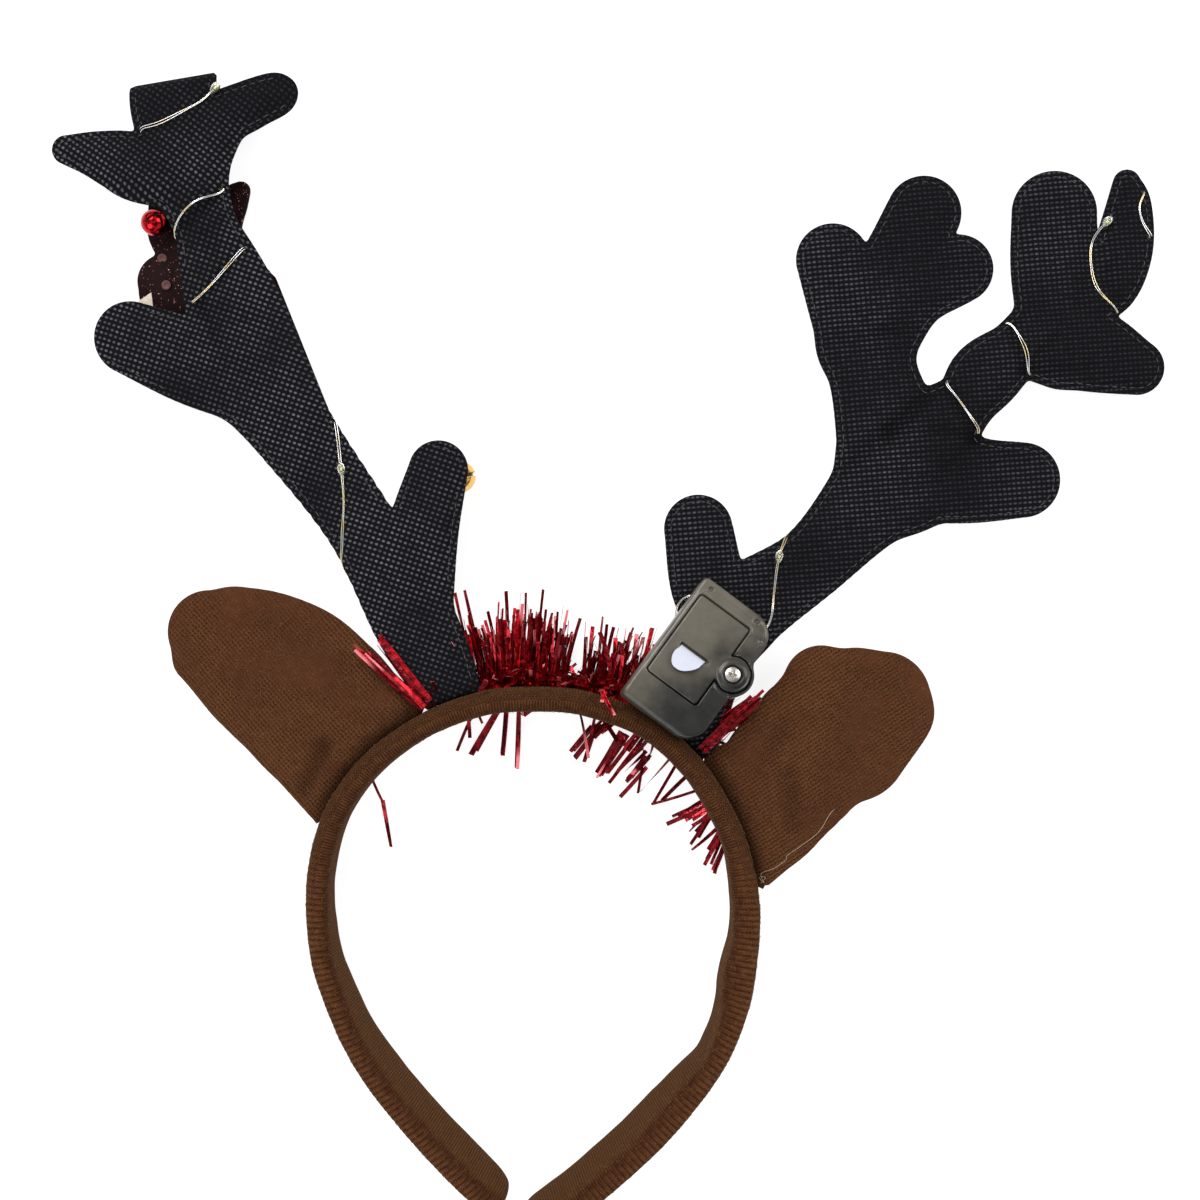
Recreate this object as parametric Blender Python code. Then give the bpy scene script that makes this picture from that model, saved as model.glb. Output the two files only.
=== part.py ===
"""Reindeer antler headband: a knit-covered band with two stuffed antlers, two ears, a tinsel garland,
and a string of small lights with its battery box.

It lies face down on the surface z = 0. +Z points to the wearer's back, +Y to the antlers' tips.
Every table and size below is in millimetres, and MM turns them into metres where a mesh is made.
"""
import math

import bpy
import bmesh
import numpy as np
from mathutils import Matrix, Vector
from mathutils.bvhtree import BVHTree

MM = 0.001
GAP = 0.3

# Band: a flat padded strip, stood on its front edge
BAND_WIDTH = 20.0
BAND_CORNER = 2.6
BAND_FLAT = 22
# Its front edge rises from the legs' tips to the crown, where the tinsel lies under it
BAND_LOW = -0.8
BAND_LOW_AT = -193.0
BAND_HIGH = 4.0
BAND_HIGH_AT = -13.0
# Columns: x, y, thickness, lean in degrees
BAND = (
    (-36.4, -177.6, 8.6, 14),
    (-49.9, -164.9, 9.0, 16),
    (-62.8, -151.8, 8.8, 16),
    (-73.8, -138.4, 8.4, 15),
    (-82.7, -125.0, 8.0, 12),
    (-89.5, -110.6, 8.0, 7),
    (-94.3, -96.0, 8.0, 3),
    (-96.0, -79.0, 8.0, 0),
    (-94.2, -62.5, 8.0, 0),
    (-88.2, -47.0, 8.0, 0),
    (-78.2, -34.0, 8.0, 0),
    (-61.6, -21.8, 8.0, 0),
    (-43.0, -14.6, 8.0, 0),
    (-25.5, -13.0, 8.0, 0),
    (-8.0, -14.6, 8.0, 0),
    (12.0, -22.4, 8.0, 0),
    (26.6, -35.6, 8.0, 0),
    (37.6, -53.5, 8.0, 0),
    (42.8, -70.0, 8.0, 0),
    (44.2, -87.2, 8.0, 1),
    (42.9, -101.5, 7.4, 3),
    (39.9, -115.5, 6.8, 5),
    (33.0, -130.6, 7.2, 9),
    (21.8, -146.0, 8.0, 14),
    (6.8, -161.8, 8.4, 18),
    (-12.0, -178.0, 8.6, 20),
    (-28.6, -190.6, 8.6, 18),
)
BAND_STEPS = 2

# Padded sheets: limbs of the outline, as discs of a half width at a height of the middle sheet
# Columns: x, y, half width, height
ANTLER_RIGHT = {
    "beam": (
        (25.0, -21.0, 12.0, 14.2),
        (30.0, -1.0, 14.0, 14.2),
        (43.0, 15.8, 14.0, 13.6),
        (65.8, 31.8, 11.9, 12.0),
        (84.6, 51.0, 15.0, 9.6),
        (95.2, 64.7, 20.2, 8.4),
    ),
    "inner tine": ((40.0, 14.2, 14.4, 13.6), (32.2, 24.4, 12.4, 12.6), (28.7, 43.0, 11.0, 10.6)),
    "branch": (
        (95.2, 65.7, 19.6, 8.4),
        (88.2, 91.0, 14.8, 6.6),
        (83.4, 112.0, 15.6, 4.4),
        (74.2, 133.4, 12.0, 2.8),
    ),
    "branch, middle lobe": ((86.0, 115.2, 15.0, 4.4), (94.8, 131.0, 12.0, 3.2), (104.8, 149.2, 12.2, 2.8)),
    "branch, outer lobe": ((84.7, 105.0, 16.0, 5.0), (101.4, 120.4, 13.0, 3.6), (116.2, 130.4, 11.5, 2.8)),
    "outer tine": ((95.2, 65.7, 20.0, 8.4), (118.8, 59.8, 14.4, 6.0), (139.2, 59.4, 12.6, 3.0)),
    "neck": (
        (97.0, 67.0, 20.0, 8.4),
        (116.0, 83.8, 10.8, 8.2),
        (135.0, 102.6, 9.9, 8.2),
        (152.6, 110.9, 16.6, 6.0),
    ),
    "crown, up": ((152.6, 110.9, 16.6, 6.0), (149.2, 129.6, 14.0, 4.4), (151.5, 149.2, 14.4, 2.8)),
    "crown, thin": (
        (158.4, 117.6, 8.0, 5.6),
        (168.8, 124.6, 8.0, 5.2),
        (172.8, 137.0, 9.8, 5.0),
        (175.2, 151.8, 7.2, 4.8),
        (174.9, 159.6, 4.7, 4.6),
    ),
    "crown, right": ((154.0, 106.0, 15.6, 6.0), (175.6, 100.4, 11.4, 2.8)),
}
ANTLER_LEFT = {
    "beam": (
        (-51.0, -9.5, 10.4, 14.2),
        (-63.9, 11.2, 13.4, 14.4),
        (-82.7, 44.2, 11.4, 13.0),
        (-106.4, 77.2, 13.6, 10.8),
        (-118.9, 97.0, 18.6, 9.4),
    ),
    "inner tine": ((-63.0, 17.5, 13.0, 14.4), (-60.4, 44.0, 12.0, 14.0), (-56.7, 62.4, 9.4, 13.7)),
    "outer tine": ((-118.9, 96.0, 18.2, 9.4), (-139.1, 98.9, 14.2, 8.4), (-159.8, 106.6, 11.8, 7.4)),
    "neck": (
        (-119.9, 100.0, 18.6, 9.4),
        (-128.4, 126.0, 13.8, 9.2),
        (-134.2, 143.2, 10.2, 11.4),
        (-140.0, 161.0, 13.0, 15.0),
    ),
    "crown, left": (
        (-140.0, 161.0, 13.0, 15.0),
        (-154.3, 161.4, 11.0, 15.4),
        (-167.8, 165.0, 8.2, 13.4),
        (-177.2, 167.0, 7.2, 11.6),
    ),
    "crown, right": ((-140.0, 161.0, 13.0, 15.0), (-127.2, 175.6, 9.8, 13.4), (-113.0, 184.8, 8.0, 11.6)),
    "crown, up": ((-140.0, 163.0, 12.6, 15.0), (-143.6, 180.5, 14.2, 14.6)),
}
# The branch of the left antler lies folded forward, under the beam
BRANCH_LEFT = {
    "root": ((-108.0, 108.0, 21.0, 2.4), (-129.0, 129.0, 15.6, 2.4), (-149.6, 129.2, 11.2, 2.4)),
    "middle lobe": ((-129.0, 130.0, 15.6, 2.4), (-153.0, 153.0, 9.2, 2.4)),
    "outer lobe": ((-129.0, 130.0, 15.6, 2.4), (-133.0, 152.8, 9.2, 2.4)),
}
# The upright lobe of the left crown is folded forward too
LOBE_LEFT = {"folded lobe": ((-143.8, 182.4, 12.6, 8.6), (-139.0, 170.0, 11.6, 8.2))}
# Folds: a line from x0, y0 to x1, y1, with the roll's radius and height
FOLD_BRANCH = (-95.0, 84.0, -114.8, 133.4, 4.7, 5.6)
FOLD_LOBE = (-130.0, 193.6, -158.2, 188.8, 4.6, 11.2)

EAR_LEFT = {
    "leaf": ((-79.0, -36.0, 24.6, 13.4), (-97.0, -16.2, 24.6, 12.4), (-115.3, -1.9, 23.6, 8.6),
             (-134.4, 8.8, 13.0, 3.4)),
}
EAR_RIGHT = {
    "leaf": ((50.4, -48.8, 21.2, 13.0), (74.4, -22.2, 22.8, 9.6), (94.6, -14.4, 14.2, 3.6)),
}
# Sharp corners of the outlines, where the sewn edge meets the band
EAR_LEFT_CORNERS = ((-96.6, -53.6), (-61.8, -15.6))
EAR_RIGHT_CORNERS = ((50.0, -73.8), (33.4, -35.0))
ANTLER_THICKNESS = 5.0
ANTLER_EDGE = 1.9
ANTLER_MARGIN = 7.0
EAR_THICKNESS = 5.6
EAR_EDGE = 3.2
EAR_MARGIN = 6.0
PAD_SPACING = 6.4
EAR_SPACING = 7.0
FOLDED_THICKNESS = 4.4
CROTCH = 2.0
# Creases: a line from x0, y0 to x1, y1 where the padding is nipped in, with a depth and a half width
CREASES_RIGHT = (
    (110.0, 91.5, 92.0, 72.0, 1.1, 4.0),
    (109.7, 92.7, 120.9, 73.6, 1.2, 3.0),
    (131.8, 112.0, 137.2, 94.4, 1.2, 3.0),
)
CREASES_LEFT = (
    (-144.2, 140.0, -126.8, 154.0, 1.2, 3.0),
    (-94.8, 84.0, -100.0, 60.0, 0.9, 4.0),
)
CREASE_EARS = ((-101.0, -43.0, -92.0, -27.0, 1.6, 3.5), (59.0, -52.0, 58.6, -36.0, 1.6, 3.5))

# Tinsel: a core along the band's outer front corner, with strips in zones along the band
CORE_RADIUS = 1.3
CORE_HEIGHT = 1.9
CORE_FROM = -84.0
CORE_TO = 96.0
CORE_POINTS = 34
STRIP_WIDTH = 1.5
STRIP_THICK = 0.4
STRIP_SEED = 7
# Columns: from and to along the band from its crown, side (1 outward), count, shortest, longest,
# widest swing, lowest and highest rise in degrees
STRIPS = (
    (-27.0, 4.0, 1, 12, 17.0, 33.0, 32, 4, 22),
    (11.0, 37.0, 1, 9, 17.0, 31.0, 32, 4, 22),
    (-41.0, -33.0, 1, 3, 12.0, 18.0, 25, 0, 6),
    (47.0, 55.0, 1, 2, 12.0, 16.0, 25, 0, 6),
    (-26.0, -8.0, -1, 4, 19.0, 27.0, 20, -1, 2),
    (14.0, 90.0, -1, 15, 18.0, 36.0, 26, -1, 2),
    (-78.0, -66.0, -1, 2, 16.0, 24.0, 30, -1, 2),
)

# Battery box: its long side runs up from the band to the right antler's beam
BOX_LENGTH = 46.4
BOX_WIDTH = 28.8
BOX_DEPTH = 11.0
BOX_CORNERS = (7.0, 1.6, 1.6, 8.0)
BOX_RIM = 1.0
BOX_CENTER = (28.5, -0.5)
BOX_TURN = 53.5
BOX_TILT = 9.3
BOX_LOWEST = 17.4
DOOR_LENGTH = 30.0
DOOR_WIDTH = 19.3
DOOR_DEPTH = 1.8
DOOR_CENTER = (2.4, 2.6)
DOOR_CORNER = 1.0
LOBE_RADIUS = 5.8
LOBE_WALL = 1.3
LOBE_AT = (2.5, -11.0)
SCREW_WELL = 3.1
SCREW_HEAD = 2.4
SCREW_DEPTH = 1.2
CROSS_LENGTH = 2.6
CROSS_WIDTH = 0.7
SLOT_LENGTH = 10.6
SLOT_WIDTH = 1.3
SLOT_AT = (0.7, 3.1)
TAB_THICK = 0.35
TAB_REACH = 7.0
TAB_WIDTH = 9.2

# Lights: wires that lie on the antlers' backs and go round their edges, and a drop for each lamp
WIRE_RADIUS = 0.45
WIRE_STEPS = 2
LAMP_RADIUS = 1.35
LAMP_LENGTH = 4.6
# Columns: x, y, direction in degrees
LAMPS = {
    "led_drop_1": (-88.6, 62.4, 97.0),
    "led_drop_2": (-130.0, 187.4, 48.0),
    "led_drop_3": (54.9, 33.7, 77.0),
    "led_drop_4": (165.0, 145.4, 45.0),
}
# A route's rows are x, y and place: on the back, on the front, round the edge, or a height
BACK = "back"
FRONT = "front"
EDGE = "edge"
WIRE_LEFT_1 = (
    (-60.6, -11.6, 4.4),
    (-63.6, -5.0, 8.2),
    (-68.0, 4.0, FRONT),
    (-78.0, 18.0, FRONT),
    (-88.6, 29.0, EDGE),
    (-88.4, 38.0, BACK),
    (-87.8, 50.0, BACK),
)
WIRE_LEFT_2 = (
    (-90.4, 74.0, BACK),
    (-93.0, 80.4, EDGE),
    (-100.0, 77.6, FRONT),
    (-108.6, 83.4, FRONT),
    (-114.6, 98.0, FRONT),
    (-121.6, 116.0, FRONT),
    (-125.0, 129.0, FRONT),
    (-119.8, 138.0, EDGE),
    (-126.4, 130.6, BACK),
    (-132.6, 123.4, BACK),
    (-137.2, 116.4, EDGE),
    (-136.6, 124.0, FRONT),
    (-139.6, 133.0, FRONT),
    (-144.8, 140.4, EDGE),
    (-140.4, 147.4, BACK),
    (-135.0, 151.4, BACK),
    (-129.6, 152.8, BACK),
    (-125.8, 155.4, EDGE),
    (-133.0, 160.0, FRONT),
    (-146.0, 168.0, FRONT),
    (-156.2, 173.6, EDGE),
    (-149.0, 175.0, BACK),
    (-140.0, 179.4, BACK),
    (-134.6, 182.6, BACK),
)
WIRE_RIGHT_0 = (
    (30.4, 18.4, BACK),
    (26.6, 21.8, BACK),
    (22.6, 19.6, BACK),
    (20.6, 14.6, BACK),
    (22.4, 9.6, BACK),
)
WIRE_RIGHT_1 = (
    (49.4, 8.4, BACK),
    (52.2, 12.4, BACK),
    (53.0, 19.4, BACK),
    (53.8, 26.4, BACK),
)
WIRE_RIGHT_2 = (
    (57.2, 38.2, BACK),
    (59.0, 41.8, EDGE),
    (63.0, 41.0, FRONT),
    (76.0, 50.0, FRONT),
    (98.0, 62.0, FRONT),
    (113.0, 70.0, FRONT),
    (121.6, 73.6, EDGE),
    (119.0, 80.0, BACK),
    (114.0, 87.6, BACK),
    (109.4, 93.4, EDGE),
    (117.0, 95.0, FRONT),
    (126.0, 104.0, FRONT),
    (131.2, 113.0, EDGE),
    (135.6, 106.0, BACK),
    (138.0, 100.0, BACK),
    (137.4, 93.4, EDGE),
    (142.6, 97.0, FRONT),
    (156.0, 106.0, FRONT),
    (169.0, 115.2, EDGE),
    (162.6, 121.0, BACK),
    (160.4, 127.6, BACK),
    (159.8, 136.6, BACK),
    (161.6, 142.0, BACK),
)
WIRE_RIGHT_3 = (
    (166.9, 150.8, 7.4),
    (166.9, 154.0, 5.0),
    (170.0, 155.4, FRONT),
    (175.6, 157.4, FRONT),
    (180.2, 157.0, EDGE),
    (177.4, 153.4, BACK),
    (177.0, 149.4, BACK),
    (178.6, 144.0, BACK),
    (183.2, 139.8, EDGE),
    (176.0, 138.0, FRONT),
)
# Each wire: its rows, its antler, and the lamps at its start and end
WIRES = {
    "light_wire_left_1": (WIRE_LEFT_1, "antler_left", None, "led_drop_1"),
    "light_wire_left_2": (WIRE_LEFT_2, "antler_left", "led_drop_1", "led_drop_2"),
    "light_wire_right_0": (WIRE_RIGHT_0, "antler_right", None, None),
    "light_wire_right_1": (WIRE_RIGHT_1, "antler_right", None, "led_drop_3"),
    "light_wire_right_2": (WIRE_RIGHT_2, "antler_right", "led_drop_3", "led_drop_4"),
    "light_wire_right_3": (WIRE_RIGHT_3, "antler_right", "led_drop_4", None),
}

# A small cream flap that shows between the left outer tine and the folded branch
CREAM_FLAP = ((-158.6, 115.6), (-152.8, 114.6), (-153.7, 122.2), (-157.8, 119.4))
CREAM_BOTTOM = 4.8
CREAM_TOP = 5.3

# Bells: a ball with a slot, open inside
RED_BELL = (-152.0, 143.6, 4.15)
GOLD_BELL = (-50.6, 60.6, 5.5)
BELL_WALL = 0.6
BELL_SLOT = 0.9

COLORS = {
    "knit": ((0.075, 0.026, 0.012, 1.0), 0.95, 0.0),
    "felt": ((0.012, 0.012, 0.016, 1.0), 0.85, 0.0),
    "tinsel": ((0.45, 0.006, 0.012, 1.0), 0.22, 0.9),
    "box": ((0.055, 0.052, 0.045, 1.0), 0.3, 0.0),
    "steel": ((0.5, 0.5, 0.5, 1.0), 0.3, 1.0),
    "film": ((0.6, 0.6, 0.7, 1.0), 0.35, 0.0),
    "wire": ((0.6, 0.58, 0.5, 1.0), 0.3, 0.9),
    "lamp": ((0.7, 0.72, 0.3, 1.0), 0.08, 0.0),
    "red metal": ((0.5, 0.01, 0.01, 1.0), 0.2, 1.0),
    "gold metal": ((0.8, 0.55, 0.15, 1.0), 0.2, 1.0),
    "cream": ((0.75, 0.68, 0.55, 1.0), 0.9, 0.0),
}


def clear_scene():
    """Remove every object of the scene."""
    for obj in list(bpy.data.objects):
        bpy.data.objects.remove(obj, do_unlink=True)


def material(name):
    """The named material, made on its first use."""
    found = bpy.data.materials.get(name)
    if found:
        return found
    color, roughness, metallic = COLORS[name]
    made = bpy.data.materials.new(name)
    made.use_nodes = True
    shader = made.node_tree.nodes["Principled BSDF"]
    shader.inputs["Base Color"].default_value = color
    shader.inputs["Roughness"].default_value = roughness
    shader.inputs["Metallic"].default_value = metallic
    made.diffuse_color = color
    return made


def add_object(name, mesh, finish, smooth=True):
    """Link a mesh as the named object."""
    mesh.materials.append(material(finish))
    if smooth:
        mesh.shade_smooth()
        mesh.set_sharp_from_angle(angle=math.radians(40))
    obj = bpy.data.objects.new(name, mesh)
    bpy.context.scene.collection.objects.link(obj)
    return obj


def mesh_from(name, points, faces):
    """A mesh from points in millimetres and faces, with its normals turned outwards."""
    mesh = bpy.data.meshes.new(name)
    mesh.from_pydata((np.asarray(points, float) * MM).tolist(), [], [tuple(int(i) for i in f) for f in faces])
    work = bmesh.new()
    work.from_mesh(mesh)
    bmesh.ops.recalc_face_normals(work, faces=work.faces)
    work.to_mesh(mesh)
    work.free()
    return mesh


def applied(obj):
    """Replace an object's mesh by its evaluated one."""
    depsgraph = bpy.context.evaluated_depsgraph_get()
    mesh = bpy.data.meshes.new_from_object(obj.evaluated_get(depsgraph))
    obj.modifiers.clear()
    obj.data = mesh
    return obj


def combine(obj, others, operation, use_self=False):
    """Cut or join other objects to an object, and remove them."""
    for other in others:
        mod = obj.modifiers.new(operation.lower(), "BOOLEAN")
        mod.operation = operation
        mod.object = other
        mod.use_self = use_self
    bpy.context.view_layer.update()
    applied(obj)
    for other in others:
        bpy.data.objects.remove(other, do_unlink=True)
    return obj


def clean(obj, distance=0.02):
    """Merge points that lie closer than a distance, and drop what has no area."""
    work = bmesh.new()
    work.from_mesh(obj.data)
    bmesh.ops.remove_doubles(work, verts=work.verts, dist=distance * MM)
    bmesh.ops.dissolve_degenerate(work, edges=work.edges, dist=distance * 0.5 * MM)
    bmesh.ops.triangulate(work, faces=work.faces)
    work.to_mesh(obj.data)
    work.free()
    return obj


def smooth_rows(rows, per_span):
    """A smooth curve through every row of a table, all columns at once (Catmull-Rom spline)."""
    rows = np.asarray(rows, float)
    padded = np.vstack([2 * rows[0] - rows[1], rows, 2 * rows[-1] - rows[-2]])
    t = np.linspace(0, 1, per_span, endpoint=False)[:, None]
    spans = []
    for a, b, c, d in zip(padded[:-3], padded[1:-2], padded[2:-1], padded[3:]):
        spans.append(0.5 * (2 * b + (c - a) * t + (2 * a - 5 * b + 4 * c - d) * t**2
                            + (3 * b - a - 3 * c + d) * t**3))
    return np.vstack(spans + [rows[-1:]])


def along(points):
    """The distance of each point from the first, along a line."""
    steps = np.linalg.norm(np.diff(points[:, :2], axis=0), axis=1)
    return np.concatenate([[0.0], np.cumsum(steps)])


def distance_to_segment(x, y, x0, y0, x1, y1):
    """The distance in plan of points to a segment."""
    dx, dy = x1 - x0, y1 - y0
    t = np.clip(((x - x0) * dx + (y - y0) * dy) / (dx * dx + dy * dy), 0.0, 1.0)
    return np.hypot(x - x0 - t * dx, y - y0 - t * dy)


# Band

def band_path():
    """Rows x, y, thickness, lean and lift of the middle of the band, close together."""
    rows = smooth_rows(BAND, BAND_STEPS)
    share = (rows[:, 1] - BAND_LOW_AT) / (BAND_HIGH_AT - BAND_LOW_AT)
    return np.column_stack([rows, BAND_LOW + (BAND_HIGH - BAND_LOW) * share])


def band_frame(path):
    """The unit direction and the outward unit normal in plan at each row of the band's path."""
    tangent = np.gradient(path[:, :2], axis=0)
    tangent /= np.linalg.norm(tangent, axis=1)[:, None]
    outward = np.column_stack([-tangent[:, 1], tangent[:, 0]])
    return tangent, outward


def make_headband():
    """A rounded strip section carried along the path, with round ends."""
    path = band_path()
    tangent, outward = band_frame(path)
    travelled = along(path)
    from_end = np.minimum(travelled, travelled[-1] - travelled)
    round_end = BAND_WIDTH / 2
    reach = np.clip(from_end / round_end, 0.0, 1.0)
    narrow = np.sqrt(1 - (1 - reach) ** 2) * 0.72 + 0.28
    corner = [math.radians(a) for a in (BAND_FLAT, 90 - BAND_FLAT)]
    loops = []
    for row, normal, share in zip(path, outward, narrow):
        half_w = BAND_WIDTH / 2 * share
        half_t = row[2] / 2 * (0.45 + 0.55 * share)
        r = min(BAND_CORNER, 0.8 * half_t)
        lean = math.radians(row[3])
        middle = row[4] + BAND_WIDTH / 2 * math.cos(lean) + row[2] / 2 * math.sin(lean)
        section = []
        for sign_t, sign_w, turn in ((1, 1, 0), (-1, 1, 1), (-1, -1, 2), (1, -1, 3)):
            for a in corner:
                ct, cw = (math.cos(a), math.sin(a)) if turn in (0, 2) else (math.sin(a), math.cos(a))
                section.append((sign_t * (half_t - r + r * ct), sign_w * (half_w - r + r * cw)))
        section = np.array(section)
        n = section[:, 0] * math.cos(lean) + section[:, 1] * math.sin(lean)
        z = section[:, 1] * math.cos(lean) - section[:, 0] * math.sin(lean) + middle
        loops.append(np.column_stack([row[0] + n * normal[0], row[1] + n * normal[1], z]))
    count = len(loops[0])
    faces = []
    for i in range(len(loops) - 1):
        for k in range(count):
            a, b = i * count + k, i * count + (k + 1) % count
            faces.append((a, b, b + count, a + count))
    faces.append(tuple(range(count)))
    faces.append(tuple(range((len(loops) - 1) * count, len(loops) * count)))
    return add_object("headband", mesh_from("headband", np.vstack(loops), faces), "knit")


def band_clearance(x, y):
    """How far points lie outside the band's outer face, in plan: negative in the band and inside its loop."""
    path = band_path()
    apart = np.full(np.shape(x), 1e9)
    clearance = np.full(np.shape(x), -1e9)
    for a, b in zip(path[:-1], path[1:]):
        distance = distance_to_segment(x, y, a[0], a[1], b[0], b[1])
        outside = (x - a[0]) * (a[1] - b[1]) + (y - a[1]) * (b[0] - a[0]) > 0
        clearance = np.where(distance < apart, np.where(outside, distance, -distance) - (a[2] + b[2]) / 4,
                             clearance)
        apart = np.minimum(apart, distance)
    return clearance


# Padded sheets

def pad_field(pad, x, y):
    """Distance to the pad's outline, negative inside, and the height of its middle sheet.

    The outline is the round union of discs that run along each limb, cut where it meets the band and
    where the cloth is folded. The height is the mean of the discs' heights, weighted by nearness.
    """
    field = np.full(x.shape, 1e9)
    weight = np.zeros(x.shape)
    height = np.zeros(x.shape)
    for rows in pad["limbs"].values():
        discs = smooth_rows(rows, 8)
        apart = np.hypot(x[..., None] - discs[:, 0], y[..., None] - discs[:, 1])
        limb = (apart - discs[:, 2]).min(axis=-1)
        near = 1.0 / (apart**2 + 9.0) ** 2
        weight += near.sum(axis=-1)
        height += (near * discs[:, 3]).sum(axis=-1)
        blend = np.maximum(CROTCH - np.abs(field - limb), 0.0) / CROTCH
        field = np.minimum(field, limb) - blend**2 * CROTCH / 4
    for x0, y0, x1, y1, _, _ in pad.get("folds", ()):
        dx, dy, length = x1 - x0, y1 - y0, math.hypot(x1 - x0, y1 - y0)
        beyond = ((x - x0) * dy - (y - y0) * dx) / length
        share = ((x - x0) * dx + (y - y0) * dy) / length**2
        past_end = np.maximum(np.maximum(-share, share - 1.0), 0.0) * length
        field = np.maximum(field, beyond - 3.0 * past_end)
    if pad["on_band"]:
        field = np.maximum(field, GAP + 0.25 - band_clearance(x, y))
    return field, height / weight


def pad_gradient(pad, x, y):
    """The unit direction in which the field grows fastest, and how fast."""
    step = 0.05
    dx = pad_field(pad, x + step, y)[0] - pad_field(pad, x - step, y)[0]
    dy = pad_field(pad, x, y + step)[0] - pad_field(pad, x, y - step)[0]
    size = np.hypot(dx, dy) + 1e-9
    return dx / size, dy / size, size / (2 * step)


def drawn_to_outline(pad, x, y):
    """Move points straight onto the outline."""
    gx, gy, slope = pad_gradient(pad, x, y)
    off = pad_field(pad, x, y)[0] / np.maximum(slope, 0.3)
    return x - off * gx, y - off * gy


def pad_sheet(pad, spacing):
    """A flat triangle mesh of the pad's plan: a triangular grid whose rim is drawn onto the outline."""
    rows = np.vstack([np.asarray(r, float) for r in pad["limbs"].values()])
    lo = (rows[:, :2] - rows[:, 2:3]).min(axis=0) - 2 * spacing
    hi = (rows[:, :2] + rows[:, 2:3]).max(axis=0) + 2 * spacing
    high = spacing * math.sqrt(3) / 2
    ny, nx = int((hi[1] - lo[1]) / high) + 2, int((hi[0] - lo[0]) / spacing) + 2
    j, i = np.meshgrid(np.arange(ny), np.arange(nx), indexing="ij")
    x = (lo[0] + (i + 0.5 * (j % 2)) * spacing).ravel()
    y = (lo[1] + j * high).ravel()
    node = np.arange(ny * nx).reshape(ny, nx)
    a, b, c, d = node[:-1, :-1], node[:-1, 1:], node[1:, :-1], node[1:, 1:]
    even = ((np.arange(ny - 1) % 2 == 0)[:, None] & np.ones_like(a, bool))[..., None]
    first = np.where(even, np.stack([a, b, c], -1), np.stack([a, d, c], -1))
    second = np.where(even, np.stack([b, d, c], -1), np.stack([a, b, d], -1))
    triangles = np.vstack([first.reshape(-1, 3), second.reshape(-1, 3)])
    inner = pad_field(pad, x, y)[0] < -0.42 * spacing
    triangles = triangles[inner[triangles].sum(axis=1) >= 1]
    used, triangles = np.unique(triangles, return_inverse=True)
    triangles = triangles.reshape(-1, 3)
    x, y, rim = x[used], y[used], ~inner[used]
    edges = np.sort(np.vstack([triangles[:, [0, 1]], triangles[:, [1, 2]], triangles[:, [2, 0]]]), axis=1)
    count = np.bincount(edges.ravel(), minlength=len(x))
    for _ in range(12):
        x[rim], y[rim] = drawn_to_outline(pad, x[rim], y[rim])
        ease = np.where(rim, 0.12, 0.5)
        for axis in (x, y):
            total = np.bincount(edges[:, 0], axis[edges[:, 1]], len(x))
            total += np.bincount(edges[:, 1], axis[edges[:, 0]], len(x))
            axis += ease * (total / count - axis)
    for _ in range(4):
        x[rim], y[rim] = drawn_to_outline(pad, x[rim], y[rim])
    for corner_x, corner_y in pad.get("corners", ()):
        nearest = np.argmin(np.where(rim, np.hypot(x - corner_x, y - corner_y), 1e9))
        x[nearest], y[nearest] = corner_x, corner_y
    return x, y, triangles


def pad_heights(pad, x, y):
    """The middle height and half thickness of a pad at points: thin at the rim, full past the margin."""
    field, middle = pad_field(pad, x, y)
    share = np.clip(-field / pad["margin"], 0.0, 1.0)
    half = pad["edge"] / 2 + (pad["thickness"] - pad["edge"]) / 2 * np.sin(share * math.pi / 2)
    for x0, y0, x1, y1, depth, half_width in pad.get("creases", ()):
        nip = np.exp(-(distance_to_segment(x, y, x0, y0, x1, y1) / half_width) ** 2)
        half = np.maximum(half - depth * nip, pad["edge"] / 2)
    return middle, half


def make_pad(name, pad, finish, spacing=PAD_SPACING):
    """A stuffed pad: two sheets joined along their rim."""
    x, y, triangles = pad_sheet(pad, spacing)
    middle, half = pad_heights(pad, x, y)
    count = len(x)
    points = np.vstack([np.column_stack([x, y, middle + half]), np.column_stack([x, y, middle - half])])
    directed = np.vstack([triangles[:, [0, 1]], triangles[:, [1, 2]], triangles[:, [2, 0]]])
    forward = directed[:, 0] * count + directed[:, 1]
    backward = directed[:, 1] * count + directed[:, 0]
    walls = [(b, a, a + count, b + count) for a, b in directed[~np.isin(forward, backward)]]
    faces = [tuple(t) for t in triangles] + [tuple(t[::-1] + count) for t in triangles] + walls
    return add_object(name, mesh_from(name, points, faces), finish)


def make_fold(name, fold):
    """The rounded fold of a doubled sheet: a short roll with round ends along the fold line."""
    x0, y0, x1, y1, radius, height = fold
    start, end = Vector((x0, y0, height)), Vector((x1, y1, height))
    direction = (end - start).normalized()
    shift = Vector((-direction.y, direction.x, 0.0)) * radius
    length = (end - start).length - 2 * radius
    work = bmesh.new()
    bmesh.ops.create_uvsphere(work, u_segments=12, v_segments=7, radius=radius * MM)
    for vert in work.verts:
        vert.co.z += math.copysign(length / 2, vert.co.z) * MM
    turn = direction.to_track_quat("Z", "Y").to_matrix().to_4x4()
    place = Matrix.Translation(((start + end) / 2 + shift) * MM)
    bmesh.ops.transform(work, matrix=place @ turn, verts=work.verts)
    mesh = bpy.data.meshes.new(name)
    work.to_mesh(mesh)
    work.free()
    return add_object(name, mesh, "felt")


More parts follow.
